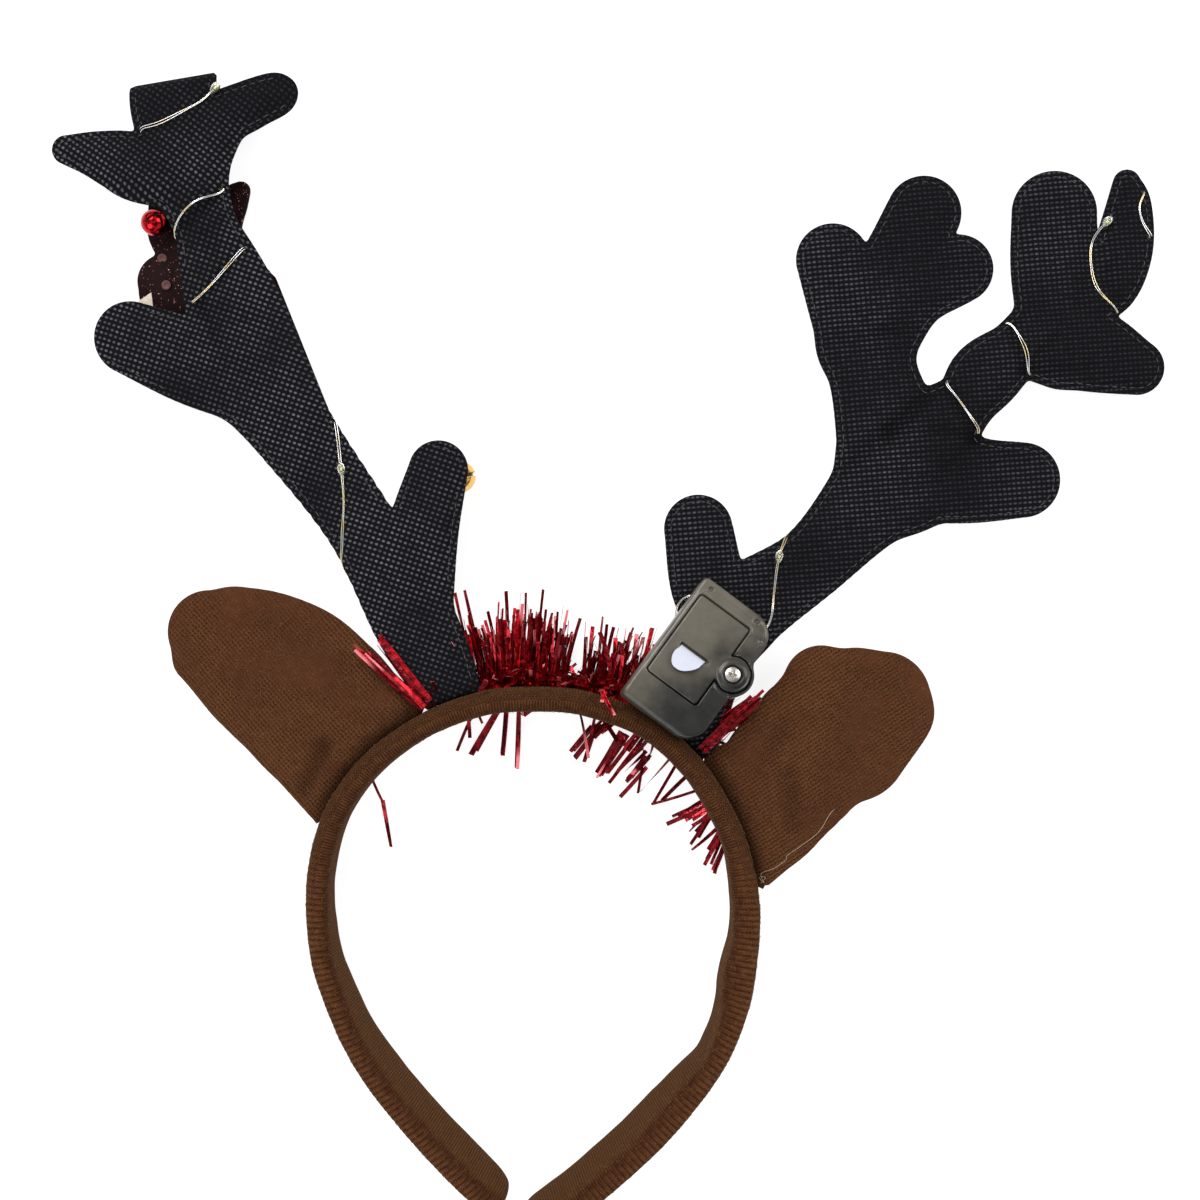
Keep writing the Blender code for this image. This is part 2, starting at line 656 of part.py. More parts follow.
def antler_pad(limbs, folds=(), creases=(), on_band=True, thickness=ANTLER_THICKNESS):
    """The values of one stuffed sheet of an antler."""
    return {"limbs": limbs, "folds": folds, "creases": creases, "on_band": on_band, "thickness": thickness,
            "edge": ANTLER_EDGE, "margin": ANTLER_MARGIN}


def ear_pad(limbs, corners, crease):
    """The values of one ear."""
    return {"limbs": limbs, "corners": corners, "creases": (crease,), "on_band": True,
            "thickness": EAR_THICKNESS, "edge": EAR_EDGE, "margin": EAR_MARGIN}


def make_antler_right():
    """The right antler, laid out flat."""
    return make_pad("antler_right", antler_pad(ANTLER_RIGHT, creases=CREASES_RIGHT), "felt")


def make_antler_left():
    """The left antler with its branch and its crown's upright lobe folded under it."""
    antler = make_pad("antler_left", antler_pad(ANTLER_LEFT, (FOLD_BRANCH, FOLD_LOBE), CREASES_LEFT), "felt")
    under = []
    for name, limbs, fold in (("branch", BRANCH_LEFT, FOLD_BRANCH), ("lobe", LOBE_LEFT, FOLD_LOBE)):
        pad = antler_pad(limbs, (fold,), on_band=False, thickness=FOLDED_THICKNESS)
        under += [make_pad(name, pad, "felt"), make_fold(name + "_roll", fold)]
    return clean(combine(antler, under, "UNION"))


def make_ears():
    make_pad("ear_left", ear_pad(EAR_LEFT, EAR_LEFT_CORNERS, CREASE_EARS[0]), "knit", EAR_SPACING)
    make_pad("ear_right", ear_pad(EAR_RIGHT, EAR_RIGHT_CORNERS, CREASE_EARS[1]), "knit", EAR_SPACING)


# Tinsel

def core_path():
    """Points of the tinsel's core, beside the band's outer front corner, and the band's normals there."""
    path = band_path()
    _, outward = band_frame(path)
    travelled = along(path)
    zero = travelled[np.argmax(path[:, 1])]
    at = np.linspace(CORE_FROM, CORE_TO, CORE_POINTS)
    offset = path[:, 2] / 2 + GAP + CORE_RADIUS + 0.1
    line = path[:, :2] + outward * offset[:, None]
    x = np.interp(at + zero, travelled, line[:, 0])
    y = np.interp(at + zero, travelled, line[:, 1])
    nx = np.interp(at + zero, travelled, outward[:, 0])
    ny = np.interp(at + zero, travelled, outward[:, 1])
    return at, x, y, nx, ny


def tube(name, points, radius, finish):
    """A round tube through points, with closed ends."""
    curve = bpy.data.curves.new(name, "CURVE")
    curve.dimensions = "3D"
    curve.bevel_depth = radius * MM
    curve.bevel_resolution = 1
    curve.use_fill_caps = True
    spline = curve.splines.new("POLY")
    spline.points.add(len(points) - 1)
    for point, place in zip(spline.points, points):
        point.co = (*[float(v) * MM for v in place], 1.0)
    obj = bpy.data.objects.new(name, curve)
    curve.materials.append(material(finish))
    bpy.context.scene.collection.objects.link(obj)
    return obj


def make_tinsel():
    """A core and its strips, each a thin bent ribbon with its root in the core, joined into one body."""
    at, x, y, nx, ny = core_path()
    core = tube("tinsel_core", [(px, py, CORE_HEIGHT) for px, py in zip(x, y)], CORE_RADIUS, "tinsel")
    bpy.context.view_layer.update()
    depsgraph = bpy.context.evaluated_depsgraph_get()
    mesh = bpy.data.meshes.new_from_object(core.evaluated_get(depsgraph))
    bpy.data.objects.remove(core, do_unlink=True)
    garland = bpy.data.objects.new("tinsel_garland", mesh)
    bpy.context.scene.collection.objects.link(garland)
    random = np.random.default_rng(STRIP_SEED)
    points, faces = [], []
    for start, end, outward, count, short, long, lean, lowest, highest in STRIPS:
        for k in range(count):
            s = start + (end - start) * (k + 0.5) / count
            root = np.array([np.interp(s, at, x), np.interp(s, at, y), CORE_HEIGHT])
            normal = np.array([np.interp(s, at, nx), np.interp(s, at, ny), 0.0]) * outward
            normal /= np.linalg.norm(normal)
            across = np.array([-normal[1], normal[0], 0.0])
            swing = math.radians(random.uniform(-lean, lean) * 0.5)
            length = random.uniform(short, long)
            rise = math.radians(random.uniform(lowest, highest))
            direction = normal * math.cos(swing) + across * math.sin(swing)
            side = across * math.cos(swing) - normal * math.sin(swing)
            roll = math.radians(random.uniform(-35, 35)) if outward > 0 else 0.0
            flat = side * math.cos(roll) + np.array([0, 0, math.sin(roll)])
            first = len(points)
            for share, bend in ((0.0, 0.0), (0.5, 0.6), (1.0, 0.0)):
                run = length * share
                place = root + direction * run * math.cos(rise)
                place = place + np.array([0, 0, run * math.sin(rise) + bend * (1 if outward > 0 else 0)])
                wide = flat * STRIP_WIDTH / 2 * (1.0 if share < 1 else 0.6)
                thick = np.array([0, 0, STRIP_THICK / 2])
                place[2] = max(place[2], GAP + STRIP_THICK / 2 + abs(wide[2]))
                for u, v in ((1, 1), (-1, 1), (-1, -1), (1, -1)):
                    points.append(place + wide * u + thick * v)
            for ring in range(2):
                for c in range(4):
                    a, b = first + ring * 4 + c, first + ring * 4 + (c + 1) % 4
                    faces.append((a, b, b + 4, a + 4))
            faces.append((first, first + 3, first + 2, first + 1))
            faces.append((first + 8, first + 9, first + 10, first + 11))
    strips = add_object("strips", mesh_from("strips", points, faces), "tinsel", smooth=False)
    combine(garland, [strips], "UNION", use_self=True)
    return clean(garland)


# Battery box

def box_matrix():
    """From the box's own frame (long side along +X, back along +Z, bottom at 0) to the part's."""
    turn = Matrix.Rotation(math.radians(BOX_TURN), 4, "Z")
    tilt = Matrix.Rotation(math.radians(BOX_TILT), 4, "Y")
    height = BOX_LOWEST + BOX_LENGTH / 2 * math.sin(math.radians(BOX_TILT))
    return Matrix.Translation(Vector((BOX_CENTER[0], BOX_CENTER[1], height)) * MM) @ turn @ tilt


def rounded_plate(name, length, width, bottom, top, corners, center=(0.0, 0.0), steps=3, bevel=0.0):
    """An upright plate whose four corners have their own radii, in the box's own frame."""
    if not isinstance(corners, tuple):
        corners = (corners,) * 4
    outline = []
    for qx, qy, begin, corner in zip((1, -1, -1, 1), (1, 1, -1, -1), (0, 90, 180, 270), corners):
        for k in range(steps + 1):
            a = math.radians(begin + 90 * k / steps)
            outline.append((center[0] + qx * (length / 2 - corner) + corner * math.cos(a),
                            center[1] + qy * (width / 2 - corner) + corner * math.sin(a)))
    return plate_from(name, outline, bottom, top, bevel)


def plate_from(name, outline, bottom, top, bevel=0.0):
    """An outline between two heights, with its upper rim chamfered where bevel is set."""
    count = len(outline)
    outline = np.asarray(outline, float)
    levels = [(outline, bottom), (outline, top - bevel)]
    if bevel:
        middle = outline.mean(axis=0)
        levels.append((middle + (outline - middle) * (1 - bevel / 12), top))
    points = np.vstack([np.column_stack([o, np.full(count, z)]) for o, z in levels])
    faces = [tuple(reversed(range(count))), tuple(range((len(levels) - 1) * count, len(levels) * count))]
    for level in range(len(levels) - 1):
        for k in range(count):
            a, b = level * count + k, level * count + (k + 1) % count
            faces.append((a, b, b + count, a + count))
    return add_object(name, mesh_from(name, points, faces), "box")


def disc(name, radius, bottom, top, center, sides=16):
    """A short upright cylinder, in the box's own frame."""
    ring = [(center[0] + radius * math.cos(2 * math.pi * k / sides),
             center[1] + radius * math.sin(2 * math.pi * k / sides)) for k in range(sides)]
    return plate_from(name, ring, bottom, top)


def door_shape(name, grow, bottom, top):
    """The door's plate with the round lobe for its screw, grown by a margin."""
    plate = rounded_plate(name, DOOR_LENGTH + 2 * grow, DOOR_WIDTH + 2 * grow, bottom, top, DOOR_CORNER + grow,
                          DOOR_CENTER)
    lobe = disc(name + "_lobe", LOBE_RADIUS + grow, bottom, top, LOBE_AT)
    return combine(plate, [lobe], "UNION")


def make_battery_box():
    """Case with a pocket for the door, the door with its slot and screw well, the screw and the pull tab."""
    top = BOX_DEPTH
    floor = top - DOOR_DEPTH
    case = rounded_plate("battery_case", BOX_LENGTH, BOX_WIDTH, 0.0, top, (BOX_CORNERS[3], BOX_CORNERS[1],
                         BOX_CORNERS[2], BOX_CORNERS[0]), bevel=BOX_RIM)
    combine(case, [disc("lobe_wall", LOBE_RADIUS + LOBE_WALL, 0.0, top - BOX_RIM, LOBE_AT)], "UNION")
    pocket = door_shape("pocket", GAP, floor - GAP, top + 2)
    combine(case, [pocket], "DIFFERENCE")
    door = door_shape("battery_door", 0.0, floor, top)
    well = disc("well", SCREW_WELL, top - SCREW_DEPTH, top + 1, LOBE_AT)
    slot = rounded_plate("slot", SLOT_WIDTH, SLOT_LENGTH, floor - 1, top + 1, 0.5, SLOT_AT, steps=2)
    combine(door, [well, slot], "DIFFERENCE")
    screw = disc("door_screw", SCREW_HEAD, top - SCREW_DEPTH + GAP, top - 0.1, LOBE_AT, 12)
    cross = []
    for turned in (0, 1):
        size = (CROSS_LENGTH, CROSS_WIDTH) if turned else (CROSS_WIDTH, CROSS_LENGTH)
        cross.append(rounded_plate("cross", size[0], size[1], top - 0.6, top + 1, 0.1, LOBE_AT, steps=1))
    combine(screw, cross, "DIFFERENCE")
    screw.data.materials.clear()
    screw.data.materials.append(material("steel"))
    reach = [(SLOT_AT[0] + 0.2, SLOT_AT[1] - TAB_WIDTH / 2), (SLOT_AT[0] + 0.2, SLOT_AT[1] + TAB_WIDTH / 2)]
    middle = SLOT_AT[0] - 0.5
    for k in range(9):
        a = math.radians(90 + 180 * k / 8)
        reach.append((middle + TAB_REACH * math.cos(a), SLOT_AT[1] + TAB_WIDTH / 2 * math.sin(a)))
    tab = plate_from("pull_tab", reach, top + GAP, top + GAP + TAB_THICK)
    leg = rounded_plate("leg", TAB_THICK, TAB_WIDTH - 1, floor + GAP, top + GAP + 0.2, 0.1, SLOT_AT, steps=1)
    combine(tab, [leg], "UNION")
    tab.data.materials.clear()
    tab.data.materials.append(material("film"))
    place = box_matrix()
    for obj in (case, door, screw, tab):
        obj.data.transform(place)
        clean(obj, 0.01)


# Bells

def make_bell(name, bell, rests_on, finish):
    """A hollow ball with a slot across its back."""
    x, y, radius = bell
    center = Vector((x, y, rests_on + radius)) * MM
    shells = []
    for part, r, sides in (("", radius, 14), ("_inside", radius - BELL_WALL, 8)):
        work = bmesh.new()
        bmesh.ops.create_uvsphere(work, u_segments=sides, v_segments=sides // 2 + 1, radius=r * MM)
        mesh = bpy.data.meshes.new(name + part)
        work.to_mesh(mesh)
        work.free()
        shells.append(add_object(name + part, mesh, finish))
    slot = rounded_plate(name + "_slot", 2 * radius * 0.8, BELL_SLOT, 0.0, radius + 1, 0.2, steps=1)
    combine(shells[0], [shells[1], slot], "DIFFERENCE")
    shells[0].data.transform(Matrix.Translation(center) @ Matrix.Rotation(math.radians(45), 4, "Z"))
    return clean(shells[0], 0.01)


# Lights

def tree_of(names):
    """A search tree over the surfaces of the named objects, in metres."""
    points, faces = [], []
    for name in names:
        mesh = bpy.data.objects[name].data
        base = len(points)
        points += [v.co.copy() for v in mesh.vertices]
        faces += [tuple(base + i for i in p.vertices) for p in mesh.polygons]
    return BVHTree.FromPolygons(points, faces)


def pushed_clear(point, tree, distance):
    """A point moved out along the nearest surface's normal until it is a distance from it."""
    place = Vector(point) * MM
    for _ in range(12):
        near, normal, _, apart = tree.find_nearest(place)
        away = place - near
        inside = away.dot(normal) < 0
        if not inside and apart >= distance * MM:
            break
        out = normal if inside or apart < 1e-7 else away.normalized()
        place = near + out * (distance + 0.05) * MM
    place.z = max(place.z, distance * MM)
    return np.array(place) / MM


def laid_along(line, tree, distance, from_lamp, to_lamp):
    """A line whose points are pushed clear, with a point more where a straight run would cut a corner.

    An end at a lamp stays where it is.
    """
    ends = (line[0], line[-1])
    line = [pushed_clear(p, tree, distance) for p in line]
    if from_lamp:
        line[0] = ends[0]
    if to_lamp:
        line[-1] = ends[1]
    for _ in range(3):
        finer = [line[0]]
        for a, b in zip(line[:-1], line[1:]):
            middle = (a + b) / 2
            pushed = pushed_clear(middle, tree, distance)
            if np.linalg.norm(pushed - middle) > WIRE_RADIUS / 2:
                finer.append(pushed)
            finer.append(b)
        line = finer
    return np.array(line)


def placed_rows(rows, pad):
    """Points of a route: its back and front rows lie on the pad, its edge rows stand off its outline."""
    stand_off = WIRE_RADIUS + GAP
    points = []
    for x, y, place in rows:
        x, y = np.array([x]), np.array([y])
        if place == EDGE:
            gx, gy, _ = pad_gradient(pad, x, y)
            field, middle = pad_field(pad, x, y)
            out = stand_off + 0.2 - field
            points.append((float((x + gx * out)[0]), float((y + gy * out)[0]), float(middle[0])))
        elif place in (BACK, FRONT):
            middle, half = pad_heights(pad, x, y)
            height = float((half + stand_off)[0]) * (1 if place == BACK else -1)
            points.append((float(x[0]), float(y[0]), float(middle[0]) + height))
        else:
            points.append((float(x[0]), float(y[0]), place))
    return np.array(points)


def lamp_frame(name, pad, tree):
    """The middle of a lamp that lies on the antler's back, and its direction."""
    x, y, degrees = LAMPS[name]
    middle, half = pad_heights(pad, np.array([x]), np.array([y]))
    height = float((middle + half)[0]) + LAMP_RADIUS + GAP
    center = pushed_clear((x, y, height), tree, LAMP_RADIUS + GAP)
    angle = math.radians(degrees)
    return center, np.array([math.cos(angle), math.sin(angle), 0.0])


def make_lamp(name, center, direction):
    """A clear drop, long along its wire."""
    work = bmesh.new()
    bmesh.ops.create_uvsphere(work, u_segments=8, v_segments=5, radius=LAMP_RADIUS * MM)
    stretch = Matrix.Diagonal((1.0, 1.0, LAMP_LENGTH / (2 * LAMP_RADIUS), 1.0))
    turn = Vector(direction).to_track_quat("Z", "Y").to_matrix().to_4x4()
    place = Matrix.Translation(Vector(center) * MM)
    bmesh.ops.transform(work, matrix=place @ turn @ stretch, verts=work.verts)
    mesh = bpy.data.meshes.new(name)
    work.to_mesh(mesh)
    work.free()
    return add_object(name, mesh, "lamp")


def make_lights():
    """Each wire as a round tube along its route, ending short of its lamps, and the lamps."""
    pads = {"antler_left": antler_pad(ANTLER_LEFT, (FOLD_BRANCH, FOLD_LOBE), CREASES_LEFT),
            "antler_right": antler_pad(ANTLER_RIGHT, creases=CREASES_RIGHT)}
    trees = {name: tree_of((name, "headband", "tinsel_garland", "battery_case")) for name in pads}
    frames = {}
    for rows, antler, first, last in WIRES.values():
        for lamp in (first, last):
            if lamp and lamp not in frames:
                frames[lamp] = lamp_frame(lamp, pads[antler], trees[antler])
                make_lamp(lamp, *frames[lamp])
    reach = LAMP_LENGTH / 2 + GAP
    for name, (rows, antler, first, last) in WIRES.items():
        points = placed_rows(rows, pads[antler])
        if first:
            center, direction = frames[first]
            points = np.vstack([center + direction * reach, center + direction * (reach + 1.5), points])
        if last:
            center, direction = frames[last]
            points = np.vstack([points, center - direction * (reach + 1.5), center - direction * reach])
        line = laid_along(smooth_rows(points, WIRE_STEPS), trees[antler], WIRE_RADIUS + GAP, first, last)
        tube(name, line, WIRE_RADIUS, "wire")


def make_cream_flap():
    """A thin flap under the left outer tine."""
    flap = plate_from("cream_flap", CREAM_FLAP, CREAM_BOTTOM, CREAM_TOP)
    flap.data.materials.clear()
    flap.data.materials.append(material("cream"))


def main():
    clear_scene()
    make_headband()
    make_antler_right()
    make_antler_left()
    make_ears()
    make_tinsel()
    make_battery_box()
    make_bell("red_bell", RED_BELL, 4.9, "red metal")
    make_bell("gold_bell", GOLD_BELL, 0.4, "gold metal")
    make_lights()
    make_cream_flap()


main()
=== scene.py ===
"""Looks of a reindeer antler headband, laid out as an add-on and run as a script.

The packed solids are the fixed frame. Each piece here is a surface worked out on a grid or along a path,
or a sewn pad over a plan mesh. The tables are in millimetres, and MM turns them into metres.
"""
import math

import bpy
import numpy as np
from mathutils import Euler, Matrix, Vector
from mathutils.bvhtree import BVHTree


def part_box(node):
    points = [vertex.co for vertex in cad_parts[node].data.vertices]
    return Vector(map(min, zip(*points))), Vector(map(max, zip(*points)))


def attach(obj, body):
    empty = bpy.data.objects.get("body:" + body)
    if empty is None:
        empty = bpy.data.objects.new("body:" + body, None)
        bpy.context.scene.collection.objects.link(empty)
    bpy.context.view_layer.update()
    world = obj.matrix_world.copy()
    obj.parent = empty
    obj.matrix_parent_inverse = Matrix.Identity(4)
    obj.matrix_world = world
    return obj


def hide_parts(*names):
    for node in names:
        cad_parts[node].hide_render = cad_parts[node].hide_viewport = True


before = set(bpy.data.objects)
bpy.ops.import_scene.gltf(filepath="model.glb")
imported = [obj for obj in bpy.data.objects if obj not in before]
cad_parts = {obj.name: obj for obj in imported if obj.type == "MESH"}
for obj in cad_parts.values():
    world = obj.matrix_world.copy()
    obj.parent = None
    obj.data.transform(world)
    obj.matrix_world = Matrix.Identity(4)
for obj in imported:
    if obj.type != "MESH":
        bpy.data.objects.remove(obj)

bl_info = {
    "name": "Reindeer Antler Headband",
    "version": (1, 0, 0),
    "blender": (4, 5, 0),
    "location": "3D View > Sidebar > Headband",
    "description": "Dresses the headband's solids in knit, sewn cloth, tinsel, lights and moulded plastic",
    "category": "Add Mesh",
}

MM = 0.001
UP = np.array([0.0, 0.0, 1.0])
CLOTH_MAP = "cloth"

# Band: x, y, thickness, lean in degrees
BAND_WIDTH = 20
BAND_LOW, BAND_LOW_AT = -0.8, -193
BAND_HIGH, BAND_HIGH_AT = 4, -13
BAND = (
    (-35.6, -179.6, 8.6, 14), (-49.4, -166.2, 9, 16), (-62.8, -151.8, 8.8, 16), (-73.8, -138.4, 8.4, 15),
    (-82.7, -125, 8, 12), (-89.5, -110.6, 8, 7), (-94.3, -96, 8, 3), (-96, -79, 8, 0),
    (-94.2, -62.5, 8, 0), (-88.2, -47, 8, 0), (-78.2, -34, 8, 0), (-61.6, -21.8, 8, 0),
    (-43, -14.6, 8, 0), (-25.5, -13, 8, 0), (-8, -14.6, 8, 0), (12, -22.4, 8, 0),
    (26.6, -35.6, 8, 0), (37.6, -53.5, 8, 0), (42.8, -70, 8, 0), (44.2, -87.2, 8, 1),
    (42.9, -101.5, 7.4, 3), (39.9, -115.5, 6.8, 5), (33, -130.6, 7.2, 9), (21.8, -146, 8, 14),
    (6.8, -161.8, 8.4, 18), (-12, -178, 8.6, 20), (-28.6, -190.6, 8.6, 18),
)
# How far the right leg's inner and outer sides stand out further, at distances down the leg
LEG_DOWN = (60, 77, 93, 109, 125, 149, 173, 200)
LEG_INNER = (0.3, 0.9, 0.4, 1.1, 0.7, 2.3, 1.7, 1.7)
LEG_OUTER = (0.2, 0.5, 0.4, 0.8, 0.6, -0.5, -1.9, -1.9)
# Bumps on the inner side: x, y, height, reach
INNER_BUMPS = ((42, -104, 2.4, 13), (30.5, -132, -1.3, 6))
BAND_SQUARENESS = 3.4
BAND_PERIMETER = 52

# Limbs of the pads: discs with x, y, half width, height of the middle sheet
ANTLER_RIGHT = {
    "beam": (
        (25, -21, 12, 14.2), (30, -1, 14, 14.2), (43, 15.8, 14, 13.6),
        (65.8, 31.8, 11.9, 12), (84.6, 51, 15, 9.6), (96.4, 62.8, 21.4, 8.4),
    ),
    "inner tine": ((40, 14.2, 14.4, 13.6), (32.2, 24.4, 12.4, 12.6), (28.7, 43, 11, 10.6)),
    "branch": (
        (95.2, 65.7, 19.6, 8.4), (88.2, 91, 14.8, 6.6), (83.4, 112, 15.6, 4.4), (74.2, 133.4, 12, 2.8),
    ),
    "branch, middle lobe": ((86, 115.2, 15, 4.4), (94.8, 131, 12, 3.2), (104.8, 149.2, 12.2, 2.8)),
    "branch, outer lobe": ((84.7, 105, 16, 5), (100, 121, 11.6, 3.6), (116.2, 130.4, 11.3, 2.8)),
    "outer tine": ((95.2, 65.7, 20, 8.4), (118.8, 59.8, 14.4, 6), (137.6, 59.6, 12.2, 3)),
    "neck": ((97, 67, 20, 8.4), (115.6, 83.4, 10.6, 8.2), (124.4, 94.2, 11.6, 8.2),
             (134.6, 102.4, 10, 8.2), (148, 111, 13.4, 6)),
    "crown, up": ((150, 106, 14, 6), (148, 129.6, 14.2, 4.4), (148.2, 149, 13.8, 2.8)),
    "crown, thin": (
        (158.4, 117.6, 8, 5.6), (167.8, 124.2, 8, 5.2), (171.2, 137, 9.4, 5),
        (173, 151, 7.2, 4.8), (172.3, 158.8, 4.3, 4.6),
    ),
    "crown, right": ((150.5, 104.4, 14, 6), (162, 102.4, 13.2, 4.6), (176, 97.4, 8.9, 2.8)),
    "crown, corner": ((150.5, 104.4, 14, 6), (142.8, 98, 5.9, 7)),
}
ANTLER_LEFT = {
    "beam": (
        (-53, -10.6, 9.9, 14.2), (-64.3, 11.2, 13.2, 14.4), (-82.7, 44.2, 11.4, 13),
        (-106.4, 77.2, 13.6, 10.8), (-118.9, 97, 18.6, 9.4),
    ),
    "inner tine": ((-64.8, 17.5, 12.4, 14.4), (-62, 42, 11.4, 14), (-57, 62.2, 9.5, 13.7)),
    "outer tine": ((-118.9, 96, 18.2, 9.4), (-139.1, 98.9, 14.2, 8.4), (-159.8, 106.6, 11.8, 7.4)),
    "neck": ((-119.9, 100, 18.6, 9.4), (-128.4, 126, 13.8, 9.2), (-134.2, 143.2, 10.2, 11.4),
             (-140, 161, 13, 15)),
    "crown, left": ((-140, 161, 13, 15), (-154.3, 161.6, 11.4, 15.4), (-162.2, 164, 9.5, 14.4),
                    (-170.8, 166.4, 7, 13), (-179.8, 168, 4.5, 11.6)),
    "crown, right": ((-140, 161, 13, 15), (-129.6, 176.4, 9.2, 13.6), (-119.5, 182.6, 8, 12.6),
                     (-112, 186, 7.2, 11.6), (-109.7, 186.9, 5.9, 11.4)),
    "crown, up": ((-140, 163, 12.6, 15), (-143.6, 180.5, 14, 14.6), (-144.2, 189, 13.9, 14.2),
                  (-144.4, 198, 13.9, 14)),
}
BRANCH_LEFT = {
    "root": ((-114, 106, 15, 2.4), (-131, 127, 12, 2.4), (-146.6, 120.6, 9.8, 2.4),
             (-149.8, 126.4, 8.9, 2.4)),
    "middle lobe": ((-131, 130, 12, 2.4), (-145.6, 141.5, 9, 2.4), (-147.6, 151.6, 7.4, 2.4)),
    "outer lobe": ((-131.6, 130, 11.6, 2.4), (-132, 143, 7.8, 2.4), (-127.2, 153, 5, 2.4),
                   (-124.3, 156.8, 2.9, 2.4)),
}
LOBE_LEFT = {"folded lobe": ((-143.8, 182.4, 12.6, 8.6), (-139, 170, 11.6, 8.2))}
EAR_LEFT = {
    "leaf": ((-79, -36, 24.8, 13.4), (-97, -16.2, 25.2, 12.4), (-115.3, -1.9, 23.2, 8.6),
             (-134.4, 8.8, 13, 3.4)),
    "lower tip": ((-118, -3, 20, 8), (-137.5, 0.5, 8.5, 3.4)),
    "upper edge": ((-97, -16.2, 25.2, 12.4), (-103, 2, 15, 9), (-126, 9.4, 13.4, 5)),
}
EAR_RIGHT = {
    "leaf": ((47.6, -70.4, 4.9, 12.6), (50.4, -48.8, 19.4, 13), (74.4, -22.2, 22.6, 9.6),
             (90.8, -13.8, 14.6, 4.4)),
    "upper corner": ((72, -18, 17, 10), (69.6, -8.2, 11.7, 9.8)),
    "tip": ((90.8, -13.8, 14.6, 4.4), (97.2, -19.4, 9.6, 3.6), (80, -28, 18.6, 8)),
    "root": ((50.4, -48.8, 19.4, 13), (38, -37, 8, 13.6)),
}
# Sharp corners of the ears, where the sewn edge meets the band
EAR_LEFT_CORNERS = ((-96.6, -53.6), (-61.8, -15.6))
EAR_RIGHT_CORNERS = ((50, -73.8),)

# Folds: a line from x0, y0 to x1, y1, with the height of its middle and its radius
FOLD_BRANCH = (-95, 84, -114.8, 133.4, 6.2, 5)
FOLD_LOBE = (-130, 193.6, -158.2, 188.8, 11.4, 4.6)
# Creases: a line from x0, y0 to x1, y1 where the padding is nipped in, with a depth and a half width
CREASES_RIGHT = (
    (108, 91, 92, 75, 1.7, 2.6), (92, 75, 76, 62, 1.1, 3), (109.7, 92.7, 120.9, 73.6, 1.3, 1.8),
    (120.9, 73.6, 106, 76, 1, 2), (120.9, 73.6, 108, 60, 0.9, 2.2), (120.9, 73.6, 116, 60, 0.7, 1.6),
    (120.9, 73.6, 138, 66, 0.7, 1.8), (120.9, 73.6, 130, 58, 0.6, 1.8), (120.9, 73.6, 128, 88, 0.5, 1.8),
    (131.8, 112, 137.2, 94.4, 1.3, 1.8), (137.2, 94.4, 147, 106, 0.9, 2),
    (137.2, 94.4, 158, 97, 0.8, 2.2), (131.8, 112, 144, 118, 0.6, 2), (160, 142, 156, 118, 0.7, 2.4),
    (164, 128, 170, 118, 0.6, 2.4), (100, 110, 76, 106, 0.7, 2.4), (96, 102, 72, 100, 0.4, 2),
    (53, 19, 66, 38, 0.6, 2.4), (70, 36, 100, 58, 0.4, 4), (103, 118, 90, 108, 0.6, 1.8),
    (75, 124, 84, 112, 0.6, 1.8),
)
CREASES_LEFT = (
    (-144.2, 140, -126.8, 154, 1.3, 2), (-94.8, 84, -101, 58, 0.8, 4),
    (-136.6, 116.8, -120.6, 137, 1, 1.8), (-136.6, 116.8, -130, 104, 0.9, 2),
    (-136.6, 116.8, -118, 112, 0.6, 2.2), (-120, 96, -108, 76, 0.5, 3), (-150, 98, -128, 92, 0.4, 2.4),
    (-66, 40, -62, 18, 0.5, 3), (-60, 10, -50, -2, 0.5, 2.4), (-133, 140, -128, 128, 0.4, 2.4),
    (-156, 172, -136, 178, 0.7, 1.8), (-150, 168, -142, 150, 0.6, 3), (-124, 160, -134, 148, 0.5, 2.4),
    (-76, 26, -68, 10, 0.4, 3),
)
CREASES_EAR_LEFT = (
    (-101, -43, -94, -29, 1.7, 3), (-122, -8, -98, -26, 0.5, 8),
    (-112, 12, -90, -6, 0.5, 7),
)
CREASES_EAR_RIGHT = (
    (59, -54, 58.8, -38, 1.2, 3), (68, -50, 80, -22, 0.5, 7),
    (48, -36, 58, -22, 0.8, 3.6), (70, -2, 96, -8, 0.4, 3),
)
# The ears sink towards the band: by this depth, over this reach
VALLEY_DEPTH, VALLEY_REACH = 2.4, 3.4
# How much shade is painted into a fold: for each millimetre of a crease, and by the band on the ears and on
# the antlers
CREASE_SHADE, VALLEY_SHADE, ROOT_SHADE = 0.3, 0.9, 0.5
SHADE_REACH = 2.2

GAP = 0.3
CROTCH = 2
ANTLER_THICKNESS = 5
FOLDED_THICKNESS = 4.4
ANTLER_EDGE = 1.6
EAR_THICKNESS = 5.6
EAR_EDGE = 2.4
# A seam: the flat flange outside the topstitch, then the padding's rise
FLANGE = 1.5
STITCH_IN = 1.9
STITCH_DIP = 0.2
STITCH_PITCH = 3
STITCH_LENGTH = 2.2
STITCH_RADIUS = 0.22
RISE = 7
PAD_SPACING = 1.15
EAR_SPACING = 1.1
# The cloth's dots: the direction of their rows in degrees
ROWS_RIGHT = 4.5
ROWS_LEFT = -19
ROWS_CROWN = -34
CROWN_PIVOT = (-136, 148)
ROWS_FOLDED = 30
# The dots' painted highlight fades out on the crown between two values of y + share * x
CROWN_FADE = (0.35, 116, 142)

# Tinsel: the core's line and zones of strips
CORE_HEIGHT = 1.9
CORE_OFFSET = 1.7
CORE_RADIUS = 0.7
CORE_FROM, CORE_TO = -84, 96
STRIP_THICK = 0.07
STRIP_STEPS = 7
STRIP_SEED = 11
